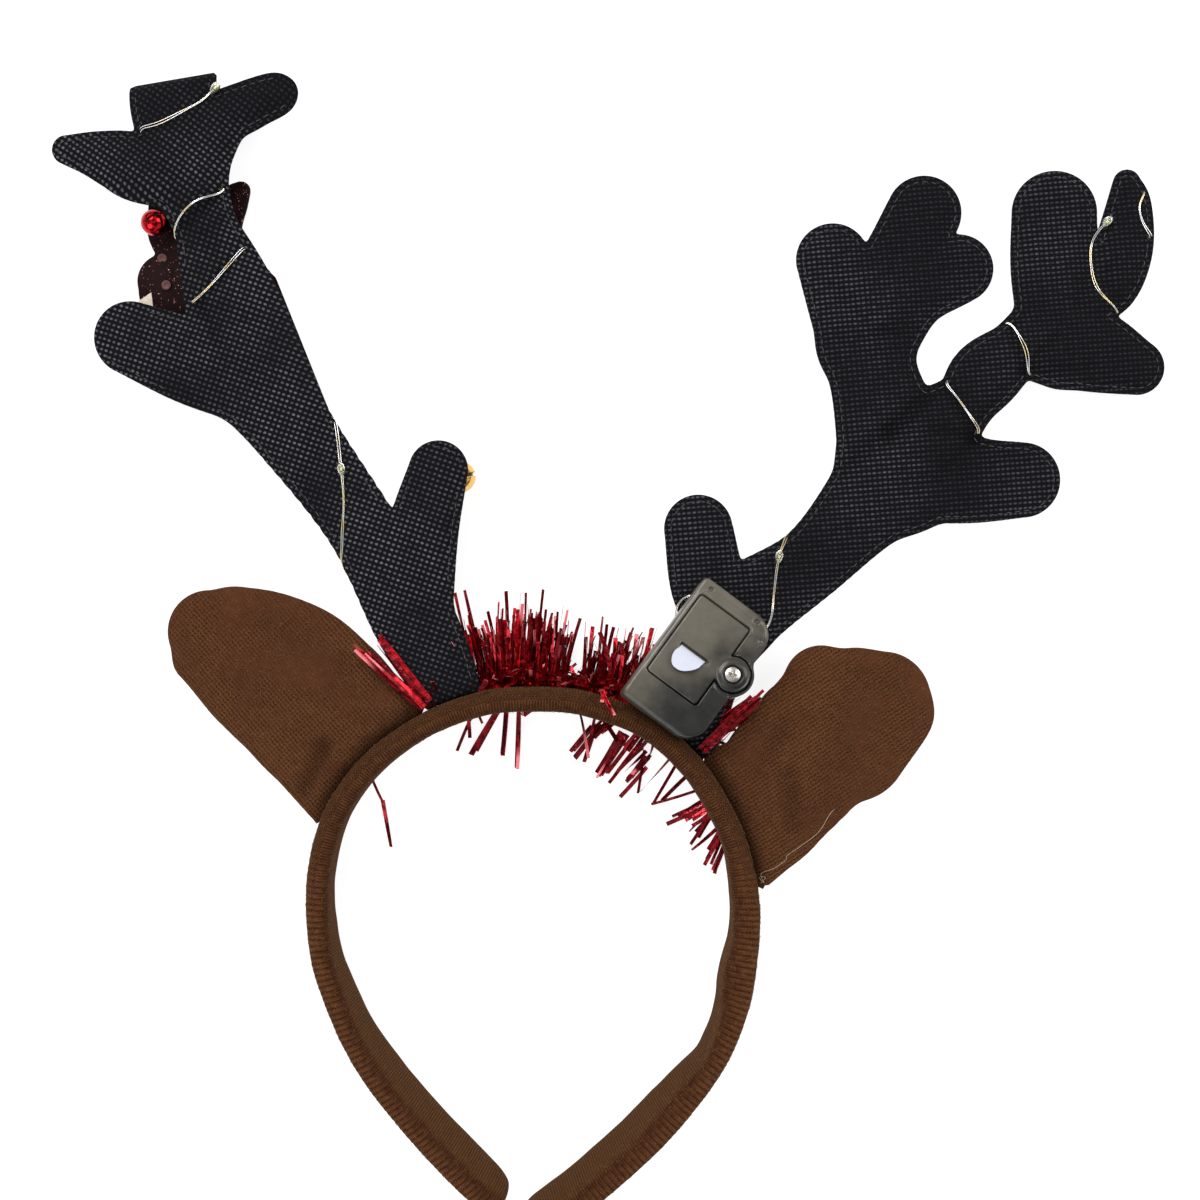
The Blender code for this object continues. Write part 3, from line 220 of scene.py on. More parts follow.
# Zones: from and to along the band from its crown, count, shortest, longest, widest swing and middle of the
# swing in degrees, lowest and highest rise in degrees, curl
STRIPS = (
    (-30, 9.5, 250, 14, 25, 9, -3, 2, 22, 0.06),
    (-27, 8, 20, 26, 33, 6, -3, 6, 15, 0.03),
    (14.5, 42, 130, 11, 23, 16, 2, 3, 24, 0.10),
    (15, 38, 14, 21, 28, 14, 8, 5, 15, 0.05),
    (-31, 44, 700, 2.5, 8, 80, 0, 0, 60, 0.9),
    (40, 60, 110, 5, 13, 40, 10, 2, 20, 0.3),
)
# Bunches laid one by one: x and y of the root, x and y of the tip, height of both, count, spread, and 1
# where the tips may get a painted pink highlight
BUNCHES = (
    (-6.4, -22.8, -12.7, -30.7, 3, 1.6, 2, 0.6, 0), (-2.5, -22.8, -11.6, -34.6, 3, 1.4, 2, 0.7, 0),
    (-4.8, -22.1, -9, -34.6, 2.6, 1.6, 1, 0.3, 0), (-5.5, -20.1, -7.1, -28.3, 5, 4, 1, 0.2, 0),
    (3.8, -24.8, -5.5, -39.8, 3, 1.6, 3, 0.9, 1), (6.1, -26.1, -3.5, -40.2, 3, 1.6, 2, 0.6, 0),
    (8.1, -27.4, -0.6, -39.6, 2.4, 1.5, 2, 0.6, 0), (9.4, -28.7, -0.8, -42.2, 3, 1.7, 2, 0.6, 0),
    (11.4, -30.7, 4.1, -38, 3, 2, 3, 1.2, 0), (11.7, -32.7, 6, -40.2, 4, 3, 2, 0.5, 1),
    (12.7, -33.3, 5.6, -41.4, 2.4, 1.5, 1, 0.3, 0), (12, -36.6, 4.1, -45.7, 2.6, 1.5, 1, 0.3, 0),
    (10.7, -30.7, 8.9, -45.1, 3, 2, 2, 0.4, 0), (20.3, -32.3, 9.3, -44.5, 2.6, 1.5, 1, 0.3, 0),
    (21.6, -34.6, 13.8, -48.4, 2.6, 1.6, 1, 0.3, 0), (26.6, -38.9, 17.1, -48.8, 2.4, 1.4, 1, 0.3, 0),
    (29.9, -43.9, 13.4, -49.2, 3, 1.6, 1, 0.3, 0), (31.8, -45.9, 21.2, -51.3, 3, 1.6, 3, 1.2, 0),
    (33.2, -47.9, 19.1, -54, 2.6, 1.4, 2, 0.5, 0), (33.5, -48.5, 24.7, -54, 2.4, 1.4, 2, 0.6, 0),
    (34.5, -50.2, 26.9, -56.2, 3, 1.8, 3, 1.2, 0), (34.5, -51.5, 26.3, -59.1, 2.4, 1.4, 2, 0.6, 0),
    (34.8, -50.5, 29.4, -59.5, 3, 1.6, 3, 0.8, 0), (33.2, -52.5, 26.9, -62.4, 2.4, 1.4, 1, 0.3, 0),
    (36.5, -55.8, 27.8, -63.6, 2.4, 1.4, 1, 0.3, 0), (37.8, -56.4, 31.8, -66.9, 2.4, 1.4, 2, 0.5, 0),
    (38.1, -58.4, 32.3, -69, 2.4, 1.4, 2, 0.5, 0), (38.4, -59.7, 33.7, -69.8, 3, 1.8, 2, 0.5, 0),
    (39.1, -59.7, 34.7, -72.6, 3.2, 1.6, 3, 0.6, 0), (2, -18, -5, -26, 3, 2.4, 6, 2, 0),
    (12, -24, 7, -32, 3, 2.4, 6, 2.4, 0), (-46, -17.5, -51.6, -30.7, 2.4, 1.4, 1, 0.2, 0),
    (-48, -18.8, -47.2, -27.4, 2.6, 1.8, 1, 0.2, 0), (-36.8, -16.2, -46.4, -32.3, 3, 1.6, 3, 0.7, 1),
    (-35.1, -15.5, -36.8, -32.3, 2.6, 1.4, 2, 0.3, 0), (-31.5, -14.9, -32.2, -35, 3, 1.6, 2, 0.4, 1),
    (-24.9, -14.9, -30.2, -19.1, 3, 2.4, 4, 1, 0), (-61.5, -15.8, -82.4, 3.4, 16.4, 17.6, 5, 0.7, 1),
    (-61, -15.5, -78, 1, 17.2, 17.8, 4, 0.8, 0), (-60.5, -14.5, -76, 5, 16.2, 16.8, 4, 0.8, 0),
    (-61.2, -15.5, -70.4, -6, 18, 18.4, 3, 0.6, 0), (-79.7, -40.6, -76.4, -48.5, 6, 4, 1, 0.1, 0),
    (-76.7, -47.5, -74.4, -62.4, 4, 1.4, 1, 0.1, 0), (29.2, -29.4, 48, -12.2, 17.2, 16.8, 4, 1.2, 0),
    (26.6, -26.1, 42.1, -14.5, 14.2, 14.9, 12, 2.4, 0), (31.2, -28.4, 47, -14, 17.6, 17.2, 2, 0.5, 0),
    (37.1, -21.8, 48.7, -11.6, 17.4, 17.2, 2, 0.8, 0), (-3.8, -10.2, 0.2, -17.8, 24.5, 24.6, 2, 0.5, 1),
    (-40, -6.6, -42.2, -10.2, 23.8, 24.4, 2, 0.4, 0), (-1.5, -10.2, -2.5, -13.5, 24.5, 24.5, 1, 0.2, 1),
)

# Battery box, in its own frame: long side along x, its back up
BOX_LENGTH, BOX_WIDTH, BOX_DEPTH = 46.4, 28.8, 11
BOX_CORNERS = (1.8, 1.6, 7, 8)
BOX_CENTER = (27.2, -1.1)
BOX_TURN, BOX_TILT, BOX_LOWEST = 53.5, 9.3, 17.4
BOX_RIM = 1
DOOR_LENGTH, DOOR_WIDTH, DOOR_DEPTH = 30, 19.3, 1.8
DOOR_CENTER = (2.4, 2.6)
DOOR_CORNER = 1
LOBE_RADIUS, LOBE_WALL = 5.8, 1.3
LOBE_AT = (2.5, -11)
SCREW_WELL, SCREW_HEAD, SCREW_DEPTH = 3.1, 2.4, 1.2
SLOT_LENGTH, SLOT_WIDTH = 10.6, 1.3
# Blind holes in the case's back, with x, y and radius, and a dimple
HOLES = ((20.6, 10.6, 0.7), (21, -7.4, 0.8))
DIMPLE_AT = (16.6, -12.2)
SLOT_AT = (0.7, 3.1)
TAB_REACH, TAB_WIDTH, TAB_THICK = 7, 9.2, 0.3
BOX_SPACING = 0.36

# Bells: x, y, radius, and the height that each rests on
RED_BELL = (-151.6, 144.6, 4.4, 4.9)
GOLD_BELL = (-50.6, 60.6, 5.5, 0.4)
SEQUINS = ((-148.7, 124.7), (-139.4, 117.8), (-131, 108), (-150.5, 134))
CREAM_FLAP = ((-158.6, 115.6), (-152.8, 114.6), (-153.7, 122.2), (-157.8, 119.4))
CREAM_BOTTOM, CREAM_TOP = 4.8, 5.3

# Lamps: direction in degrees. Each lies at the middle of its solid
LAMPS = {"led_drop_1": 97, "led_drop_2": 48, "led_drop_3": 77, "led_drop_4": 45}
LAMP_RADIUS, LAMP_LENGTH = 1.35, 4.6
STRAND_RADIUS = 0.16
STRANDS_APART = 0.5
WIRE_CLEAR = 0.24
# A route's rows are x, y and place: on the back, on the front, round the edge, or a height
BACK, FRONT, EDGE = "back", "front", "edge"
WIRE_LEFT_1 = (
    (-60.6, -11.6, 4.4), (-63.6, -5, 8.2), (-68, 4, FRONT), (-78, 18, FRONT), (-88.6, 29, EDGE),
    (-88.4, 38, BACK), (-87.8, 50, BACK),
)
WIRE_LEFT_2 = (
    (-90.4, 74, BACK), (-93, 80.4, EDGE), (-100, 77.6, FRONT), (-108.6, 83.4, FRONT),
    (-114.6, 98, FRONT), (-121.6, 116, FRONT), (-125, 129, FRONT), (-119.8, 138, EDGE),
    (-126.4, 130.6, BACK), (-132.6, 123.4, BACK), (-137.2, 116.4, EDGE), (-136.6, 124, FRONT),
    (-139.6, 133, FRONT), (-144.8, 140.4, EDGE), (-140.4, 147.4, BACK), (-135, 151.4, BACK),
    (-129.6, 152.8, BACK), (-125.8, 155.4, EDGE), (-133, 160, FRONT), (-146, 168, FRONT),
    (-156.2, 173.6, EDGE), (-149, 175, BACK), (-140, 179.4, BACK), (-134.6, 182.6, BACK),
)
WIRE_RIGHT_0 = (
    (30.4, 18.4, BACK), (26.6, 21.8, BACK), (22.6, 19.6, BACK), (20.6, 14.6, BACK), (22.4, 9.6, BACK),
)
WIRE_RIGHT_1 = ((49.4, 8.4, BACK), (52.2, 12.4, BACK), (53, 19.4, BACK), (53.8, 26.4, BACK))
WIRE_RIGHT_2 = (
    (57.2, 38.2, BACK), (59, 41.8, EDGE), (63, 41, FRONT), (76, 50, FRONT), (98, 62, FRONT),
    (113, 70, FRONT), (121.6, 73.6, EDGE), (119, 80, BACK), (114, 87.6, BACK), (109.4, 93.4, EDGE),
    (117, 95, FRONT), (126, 104, FRONT), (131.2, 113, EDGE), (135.6, 106, BACK),
    (138, 100, BACK), (137.4, 93.4, EDGE), (142.6, 97, FRONT), (156, 106, FRONT),
    (169, 115.2, EDGE), (162.6, 121, BACK), (160.4, 127.6, BACK), (159.8, 136.6, BACK),
    (161.6, 142, BACK),
)
WIRE_RIGHT_3 = (
    (167, 148, 5.2), (168.4, 149.6, 3), (171, 152.4, FRONT), (175.6, 157.4, FRONT),
    (178.2, 156.2, EDGE), (175.7, 152.2, BACK), (175.6, 148.6, BACK), (177.4, 144, BACK),
    (181, 139.4, EDGE), (175, 138, FRONT),
)
# Each wire: its rows, its antler, and the lamps at its start and end
WIRES = {
    "light_wire_left_1": (WIRE_LEFT_1, "left", None, "led_drop_1"),
    "light_wire_left_2": (WIRE_LEFT_2, "left", "led_drop_1", "led_drop_2"),
    "light_wire_right_0": (WIRE_RIGHT_0, "right", None, None),
    "light_wire_right_1": (WIRE_RIGHT_1, "right", None, "led_drop_3"),
    "light_wire_right_2": (WIRE_RIGHT_2, "right", "led_drop_3", "led_drop_4"),
    "light_wire_right_3": (WIRE_RIGHT_3, "right", "led_drop_4", None),
}

# A pale thread caught on the right ear
THREAD_RADIUS = 0.09
LOOSE_THREAD = ((49.6, -73.6), (50.8, -71.4), (49, -71.8), (50.6, -73.2), (49.4, -70.2), (54.4, -68.1),
                (57.3, -66.3), (57.9, -64), (64.8, -59.6), (68.7, -55.7), (73.3, -49.8))


# Curves and fields

def smooth_rows(rows, per_span):
    """A smooth curve through every row of a table, all columns at once (Catmull-Rom spline)."""
    rows = np.asarray(rows, float)
    padded = np.vstack([2 * rows[0] - rows[1], rows, 2 * rows[-1] - rows[-2]])
    t = np.linspace(0, 1, per_span, endpoint=False)[:, None]
    spans = []
    for a, b, c, d in zip(padded[:-3], padded[1:-2], padded[2:-1], padded[3:]):
        spans.append(0.5 * (2 * b + (c - a) * t + (2 * a - 5 * b + 4 * c - d) * t**2
                            + (3 * b - a - 3 * c + d) * t**3))
    return np.vstack(spans + [rows[-1:]])


def along(points):
    """The distance of each point from the first, along a line."""
    steps = np.linalg.norm(np.diff(points, axis=0), axis=1)
    return np.concatenate([[0.0], np.cumsum(steps)])


def resampled(rows, columns, at):
    """Rows read at distances along the line that their first columns draw."""
    travelled = along(rows[:, :columns])
    return np.column_stack([np.interp(at, travelled, column) for column in rows.T])


def unit(vectors):
    """Vectors at length one, along the last axis."""
    return vectors / np.maximum(np.linalg.norm(vectors, axis=-1, keepdims=True), 1e-9)


def smooth_share(value, low, high):
    """0 below low and 1 above high, with a soft turn between (3t^2 - 2t^3)."""
    t = np.clip((value - low) / (high - low), 0.0, 1.0)
    return t * t * (3 - 2 * t)


def ripple(x, y, length, seed, waves=7):
    """Soft bumps between -1 and 1: the mean of plane sine waves of about one length in random directions."""
    random = np.random.default_rng(seed)
    total = np.zeros(np.broadcast(x, y).shape)
    for angle, stretch, phase in random.uniform((0, 0.7, 0), (math.pi, 1.4, 2 * math.pi), (waves, 3)):
        k = 2 * math.pi / (length * stretch)
        total += np.sin(k * (x * math.cos(angle) + y * math.sin(angle)) + phase)
    return total / math.sqrt(waves) / 1.6


def distance_to_segment(x, y, x0, y0, x1, y1):
    """The distance in plan of points to a segment."""
    dx, dy = x1 - x0, y1 - y0
    t = np.clip(((x - x0) * dx + (y - y0) * dy) / (dx * dx + dy * dy), 0.0, 1.0)
    return np.hypot(x - x0 - t * dx, y - y0 - t * dy)


def past_fold(fold, x, y):
    """How far points lie beyond a fold line: negative on the side that is kept."""
    x0, y0, x1, y1 = fold[:4]
    dx, dy, length = x1 - x0, y1 - y0, math.hypot(x1 - x0, y1 - y0)
    beyond = ((x - x0) * dy - (y - y0) * dx) / length
    share = ((x - x0) * dx + (y - y0) * dy) / length**2
    past_end = np.maximum(np.maximum(-share, share - 1.0), 0.0) * length
    return beyond - 3.0 * past_end


# Meshes

def grid(rows, columns, round_columns=True):
    """Four-cornered faces over a grid of points, and each corner's row and column, counted past the seam."""
    across = columns if round_columns else columns - 1
    i, j = np.meshgrid(np.arange(rows - 1), np.arange(across), indexing="ij")
    steps = ((0, 0), (0, 1), (1, 1), (1, 0))
    places = np.stack([np.stack([i + di, j + dj], axis=-1) for di, dj in steps], axis=-2).reshape(-1, 4, 2)
    return places[..., 0] * columns + places[..., 1] % columns, places


def all_round(count):
    """Even angles all the way round."""
    return np.arange(count) * 2 * math.pi / count


def tubes(rings):
    """Points and faces of closed tubes. rings holds tube, ring, place round it and x, y, z.

    Going round the places turns right-handed about the way along the rings, so the faces look outwards.
    """
    count, rows, columns, _ = rings.shape
    sides, _ = grid(rows, columns)
    place = np.arange(columns)
    ends = np.stack([place[::-1], (rows - 1) * columns + place])
    first = (np.arange(count) * rows * columns)[:, None, None]
    return rings.reshape(-1, 3), [(sides + first).reshape(-1, 4), (ends + first).reshape(-1, columns)]


def round_tube(line, first, second, radius, sides=8):
    """Rings of a round tube: line + radius * (cos a * first + sin a * second) for angles a all round."""
    a = all_round(sides)
    radius = np.broadcast_to(radius, line.shape[:-1])[..., None, None]
    turned = np.cos(a)[:, None] * first[..., None, :] + np.sin(a)[:, None] * second[..., None, :]
    return line[..., None, :] + radius * turned


def put_tubes(name, rings, material, slot, *nodes, values=None, sharp=None):
    """Closed tubes as a dressed piece with one material."""
    points, faces = tubes(rings)
    return dress(put_mesh(name, points, faces, [material], values=values, sharp=sharp), slot, *nodes)


def put_mesh(name, points, faces, materials, uv=None, finish=None, values=None, sharp=None):
    """Link a mesh as a piece. Points are in millimetres and faces a list of arrays.

    uv is a pair for each point, or a list of pairs for each corner like faces. finish is the number of each
    face's material, and values holds a number for each point under a name. sharp is an angle in degrees.
    """
    mesh = bpy.data.meshes.new(name)
    corners = np.concatenate([f.ravel() for f in faces]).astype(np.int32)
    sizes = np.concatenate([np.full(len(f), f.shape[1]) for f in faces])
    mesh.vertices.add(len(points))
    mesh.vertices.foreach_set("co", (np.asarray(points, float) * MM).astype(np.float32).ravel())
    mesh.loops.add(len(corners))
    mesh.loops.foreach_set("vertex_index", corners)
    mesh.polygons.add(len(sizes))
    mesh.polygons.foreach_set("loop_start", np.concatenate([[0], np.cumsum(sizes)[:-1]]).astype(np.int32))
    if uv is not None:
        pairs = np.concatenate([u.reshape(-1, 2) for u in uv]) if isinstance(uv, list) else uv[corners]
        mesh.uv_layers.new(name=CLOTH_MAP)
        mesh.uv_layers[CLOTH_MAP].uv.foreach_set("vector", pairs.astype(np.float32).ravel())
    for key, numbers in (values or {}).items():
        mesh.attributes.new(key, "FLOAT", "POINT").data.foreach_set("value", numbers.astype(np.float32))
    for material in materials:
        mesh.materials.append(material)
    if finish is not None:
        mesh.polygons.foreach_set("material_index", finish.astype(np.int32))
    mesh.update(calc_edges=True)
    if mesh.validate():
        raise RuntimeError(name + " has broken faces")
    mesh.shade_smooth()
    if sharp:
        mesh.set_sharp_from_angle(angle=math.radians(sharp))
    obj = bpy.data.objects.new(name, mesh)
    bpy.context.scene.collection.objects.link(obj)
    return obj


def dress(obj, slot, *nodes):
    """Let a piece ride on the one body, and name its finish and the packed solids that it stands for."""
    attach(obj, "root")
    if nodes:
        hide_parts(*nodes)
    return obj


def settings():
    """The sizes and colours that the panel shows."""
    return bpy.context.scene.headband


# Node helpers

class Net:
    """Short ways to add nodes to one tree. A socket given as a value is linked."""

    def __init__(self, tree):
        self.tree = tree

    def add(self, kind, values=None, out=0, **options):
        """A node with its options and inputs; gives its numbered or named output."""
        node = self.tree.nodes.new(kind)
        for key, value in options.items():
            setattr(node, key, value)
        self.fill(node, values or {})
        return node if out is None else node.outputs[out]

    def fill(self, node, values):
        """Set or link a node's inputs."""
        for key, value in values.items():
            if isinstance(value, bpy.types.NodeSocket):
                self.tree.links.new(value, node.inputs[key])
            else:
                opaque = node.inputs[key].type == "RGBA" and len(value) == 3
                node.inputs[key].default_value = (*value, 1.0) if opaque else value

    def math(self, operation, *values):
        """A sum worked out point by point."""
        return self.add("ShaderNodeMath", dict(enumerate(values)), operation=operation)

    def plus(self, first, second):
        """One number added to another."""
        return self.math("ADD", first, second)

    def minus(self, first, second):
        """One number less another."""
        return self.math("SUBTRACT", first, second)

    def times(self, first, second):
        """One number times another."""
        return self.math("MULTIPLY", first, second)

    def scaled(self, value, share, base):
        """A number times a share, on top of a base."""
        return self.math("MULTIPLY_ADD", value, share, base)

    def vector(self, operation, *values, out=0):
        """A sum of vectors worked out point by point."""
        return self.add("ShaderNodeVectorMath", dict(enumerate(values)), out=out, operation=operation)

    def mix(self, share, first, second):
        """A colour between two others."""
        return self.add("ShaderNodeMix", {0: share, 6: first, 7: second}, out=2, data_type="RGBA")

    def noise(self, place, scale, detail=2.0, rough=0.5):
        """Soft noise between 0 and 1."""
        return self.add("ShaderNodeTexNoise", {"Vector": place, "Scale": scale, "Detail": detail,
                                               "Roughness": rough})

    def step(self, value, low, high, to_low=0.0, to_high=1.0):
        """A soft step from to_low at low to to_high at high."""
        return self.add("ShaderNodeMapRange", {"Value": value, "From Min": low, "From Max": high,
                                               "To Min": to_low, "To Max": to_high},
                        interpolation_type="SMOOTHSTEP")

    def place(self):
        """Object coordinates, in metres."""
        return self.add("ShaderNodeTexCoord", out="Object")

    def cloth(self):
        """The piece's own map."""
        return self.add("ShaderNodeUVMap", uv_map=CLOTH_MAP)

    def value(self, name):
        """A number that the mesh holds for each point."""
        return self.add("ShaderNodeAttribute", out="Fac", attribute_name=name)

    def group(self, tree, values):
        """A placed node group's outputs."""
        return self.add("ShaderNodeGroup", values, out=None, node_tree=tree).outputs

    def bump(self, height, distance, strength=1.0):
        """A normal from a height, with the full height's distance in metres."""
        return self.add("ShaderNodeBump", {"Height": height, "Distance": distance, "Strength": strength})

    def surface(self, values):
        """The one shader of a material."""
        shader = self.add("ShaderNodeBsdfPrincipled", values, out=None)
        output = self.add("ShaderNodeOutputMaterial", out=None)
        self.tree.links.new(shader.outputs[0], output.inputs["Surface"])


def new_material(name, build):
    """The named material, made by its function on first use."""
    found = bpy.data.materials.get(name)
    if found:
        return found
    material = bpy.data.materials.new(name)
    material.use_nodes = True
    material.node_tree.nodes.clear()
    build(Net(material.node_tree))
    return material


def finish(name):
    """Turn a function that fills a node tree into one that gives the named material."""
    def of(build):
        def given():
            return new_material(name, build)
        given.__doc__ = build.__doc__
        return given
    return of


def new_group(name, inputs, outputs, build):
    """The named shader group, made on first use. inputs and outputs map names to socket kinds."""
    found = bpy.data.node_groups.get(name)
    if found:
        return found
    tree = bpy.data.node_groups.new(name, "ShaderNodeTree")
    for key, kind in inputs.items():
        tree.interface.new_socket(name=key, in_out="INPUT", socket_type="NodeSocket" + kind)
    for key, kind in outputs.items():
        tree.interface.new_socket(name=key, in_out="OUTPUT", socket_type="NodeSocket" + kind)
    net = Net(tree)
    start = net.add("NodeGroupInput", out=None)
    end = net.add("NodeGroupOutput", out=None)
    net.fill(end, build(net, start.outputs))
    return tree


# Shared patterns

def fuzz_group():
    """Loose fibres: fine noise and a few brighter specks. Gives a height and a shade round 0.5."""
    def build(net, given):
        fine = net.noise(given["Place"], given["Scale"], 3.0, 0.65)
        coarse = net.noise(given["Place"], net.times(given["Scale"], 0.22), 2.0)
        shade = net.plus(net.times(fine, 0.6), net.times(coarse, 0.4))
        specks = net.step(fine, 0.66, 0.78)
        return {"Height": fine, "Shade": shade, "Specks": specks}
    return new_group("Cloth Fuzz", {"Place": "Vector", "Scale": "Float"},
                     {"Height": "Float", "Shade": "Float", "Specks": "Float"}, build)


def stitch_group():
    """Rows of stitches: sin(2 pi (u + slant * w) / pitch), with w the way across a column, from its middle.

    u and v are millimetres along and across the cloth. A groove runs between the columns.
    """
    def build(net, given):
        parts = net.add("ShaderNodeSeparateXYZ", {0: given["Map"]}, out=None)
        across = net.math("PINGPONG", parts.outputs[1], net.times(given["Column"], 0.5))
        run = net.plus(parts.outputs[0], net.times(across, given["Slant"]))
        turns = net.times(net.math("DIVIDE", run, given["Pitch"]), 2 * math.pi)
        wave = net.scaled(net.math("SINE", turns), 0.5, 0.5)
        edge = net.math("DIVIDE", across, given["Column"])
        groove = net.times(net.step(edge, 0.0, 0.16), net.step(edge, 0.5, 0.36))
        return {"Height": net.times(wave, net.scaled(groove, 0.7, 0.3))}
    inputs = {"Map": "Vector", "Pitch": "Float", "Column": "Float", "Slant": "Float"}
    return new_group("Knit Stitches", inputs, {"Height": "Float"}, build)


def dot_group():
    """Embossed dots at whole numbers of the map, each with its own strength."""
    def build(net, given):
        wobble = net.vector("SCALE", net.add("ShaderNodeTexNoise", {"Vector": given["Map"], "Scale": 0.9},
                                             out=1))
        wobble.node.inputs["Scale"].default_value = 0.22
        moved = net.vector("ADD", given["Map"], wobble)
        cell = net.vector("FLOOR", moved)
        inside = net.vector("SUBTRACT", net.vector("FRACTION", moved), (0.5, 0.5, 0.5))
        flat = net.vector("MULTIPLY", inside, given["Shape"])
        away = net.vector("LENGTH", flat, out=1)
        own = net.add("ShaderNodeTexWhiteNoise", {"Vector": cell}, noise_dimensions="3D")
        mask = net.step(away, given["Radius"], net.times(given["Radius"], 0.35))
        return {"Mask": net.times(mask, net.scaled(own, 0.6, 0.4)), "Dent": mask}
    return new_group("Embossed Dots", {"Map": "Vector", "Radius": "Float", "Shape": "Vector"},
                     {"Mask": "Float", "Dent": "Float"}, build)


def handling_group():
    """Marks of handling on plastic and metal: smudges, dust and thin scratches between 0 and 1."""
    def build(net, given):
        smudge = net.noise(given["Place"], 140.0, 4.0, 0.6)
        dust = net.step(net.noise(given["Place"], 1900.0, 2.0), 0.68, 0.8)
        stretched = net.vector("MULTIPLY", given["Place"], (260.0, 2600.0, 260.0))
        scratch = net.step(net.noise(stretched, 1.0, 1.0), 0.74, 0.8)
        return {"Smudge": smudge, "Dust": dust, "Scratch": scratch}
    return new_group("Handling Marks", {"Place": "Vector"},
                     {"Smudge": "Float", "Dust": "Float", "Scratch": "Float"}, build)


# Materials

def black_cloth(name="Black Dotted Cloth", strength=1.0, shape=(0.86, 1.12, 0.0)):
    """Black non-woven cloth with a lattice of small pale embossed dots, lost in the folds."""
    given = settings().antler

    def build(net):
        place = net.place()
        dots = net.group(dot_group(), {"Map": net.cloth(), "Radius": 0.36, "Shape": shape})
        fuzz = net.group(fuzz_group(), {"Place": place, "Scale": 2600.0})
        # The dots show only in patches: a painted highlight, standing for the glint of the glossy dots.
        region = net.step(net.noise(place, 24.0, 2.0), 0.36, 0.62, 0.25 * strength, strength)
        # The fold value is painted shade: it darkens the cloth and hides the dots in creases and by the
        # band.
        fold = net.minus(1.0, net.value("fold"))
        shown = net.times(dots["Mask"], net.times(region, fold))
        # The dots' painted highlight also fades out on the crown.
        shown = net.times(shown, net.minus(1.0, net.value("faded")))
        dark = net.mix(net.times(fuzz["Shade"], fold),
                       tuple(c * 0.35 for c in given.cloth[:3]),
                       tuple(c * 1.6 for c in given.cloth[:3]))
        height = net.minus(net.times(fuzz["Height"], 0.5), dots["Dent"])
        net.surface({
            "Base Color": net.mix(shown, dark, tuple(given.dots)),
            "Roughness": net.scaled(dots["Dent"], -0.3, 0.85),
            "Specular IOR Level": 0.06,
            "Normal": net.bump(height, 0.00012, 0.7),
        })
    return new_material(name, build)


@finish("Maroon Glitter Cloth")
def glitter_cloth(net):
    """Dark maroon cloth strewn with glitter flakes that shine one by one."""
    given = settings().antler
    place = net.place()
    flakes = net.add("ShaderNodeTexVoronoi", {"Vector": place, "Scale": 2100.0}, out=None)
    parts = net.add("ShaderNodeSeparateColor", {0: flakes.outputs["Color"]}, out=None)
    bright = net.times(net.step(parts.outputs[0], 0.84, 1.0),
                      net.step(flakes.outputs["Distance"], 0.5, 0.2))
    base = net.mix(net.noise(place, 420.0, 3.0), tuple(given.glitter), (0.016, 0.003, 0.003))
    tint = net.mix(parts.outputs[1], (0.35, 0.05, 0.05), (0.75, 0.45, 0.42))
    net.surface({
        "Base Color": net.mix(bright, base, tint),
        "Metallic": net.times(bright, 0.8),
        "Roughness": net.scaled(bright, -0.35, 0.65),
        "Specular IOR Level": 0.1,
        "Normal": net.bump(parts.outputs[2], 0.0002, 0.8),
    })


@finish("Band Knit")
def band_knit(net):
    """Brown knit of the band: slanted stitches along the back edge, and cross ribs there on the legs."""
    given = settings().knit
    place, cloth = net.place(), net.cloth()
    parts = net.add("ShaderNodeSeparateXYZ", {0: cloth}, out=None)
    across = parts.outputs[1]
    stitches = net.group(stitch_group(), {"Map": cloth, "Pitch": 1.05, "Column": 1.7, "Slant": 1.3})
    ribs = net.group(stitch_group(), {"Map": cloth, "Pitch": given.rib / MM, "Column": 60.0, "Slant": 0.1})
    fine = net.group(stitch_group(), {"Map": cloth, "Pitch": 0.95, "Column": 60.0, "Slant": 0.0})
    outer = net.times(net.step(across, 20.0, 21.5), net.step(across, 26.4, 25.4))
    leg = net.step(net.add("ShaderNodeSeparateXYZ", {0: place}, out=1), -0.05, -0.085)
    rows = net.times(net.step(across, 21.0, 22.6), net.step(across, 30.6, 28.6))
    rows = net.times(rows, leg)
    fuzz = net.group(fuzz_group(), {"Place": place, "Scale": 2000.0})
    patches = net.noise(place, 420.0, 3.0, 0.6)
    height = net.add("ShaderNodeMix", {0: outer, 2: fine[0], 3: stitches[0]})
    height = net.add("ShaderNodeMix", {0: net.times(rows, 0.6), 2: height, 3: ribs[0]})
    relief = net.scaled(fuzz["Height"], 0.5, height)
    shade = net.times(height, net.scaled(patches, 0.5, 0.3))
    shade = net.plus(shade, net.times(fuzz["Shade"], 0.5))
    shade = net.plus(shade, net.times(patches, 0.2))
    # Painted highlight: the side faces past the back edge are mixed towards a lighter warm brown.
    edge = net.plus(net.step(across, 22.0, 20.0), net.step(across, 30.0, 32.5))
    base = net.mix(net.step(shade, 0.25, 0.85), tuple(given.shadow), tuple(given.color))
    warm = net.mix(net.times(edge, 0.4), base, (0.1, 0.045, 0.013))
    specks = net.times(fuzz["Specks"], 0.35)
    net.surface({
        "Base Color": net.mix(specks, warm, (0.3, 0.17, 0.09)),
        "Roughness": 0.95,
        "Specular IOR Level": 0.05,
        "Sheen Weight": 0.08,
        "Sheen Roughness": 0.5,
        "Sheen Tint": (0.5, 0.3, 0.18),
        "Normal": net.bump(relief, 0.0006, 1.0),
    })


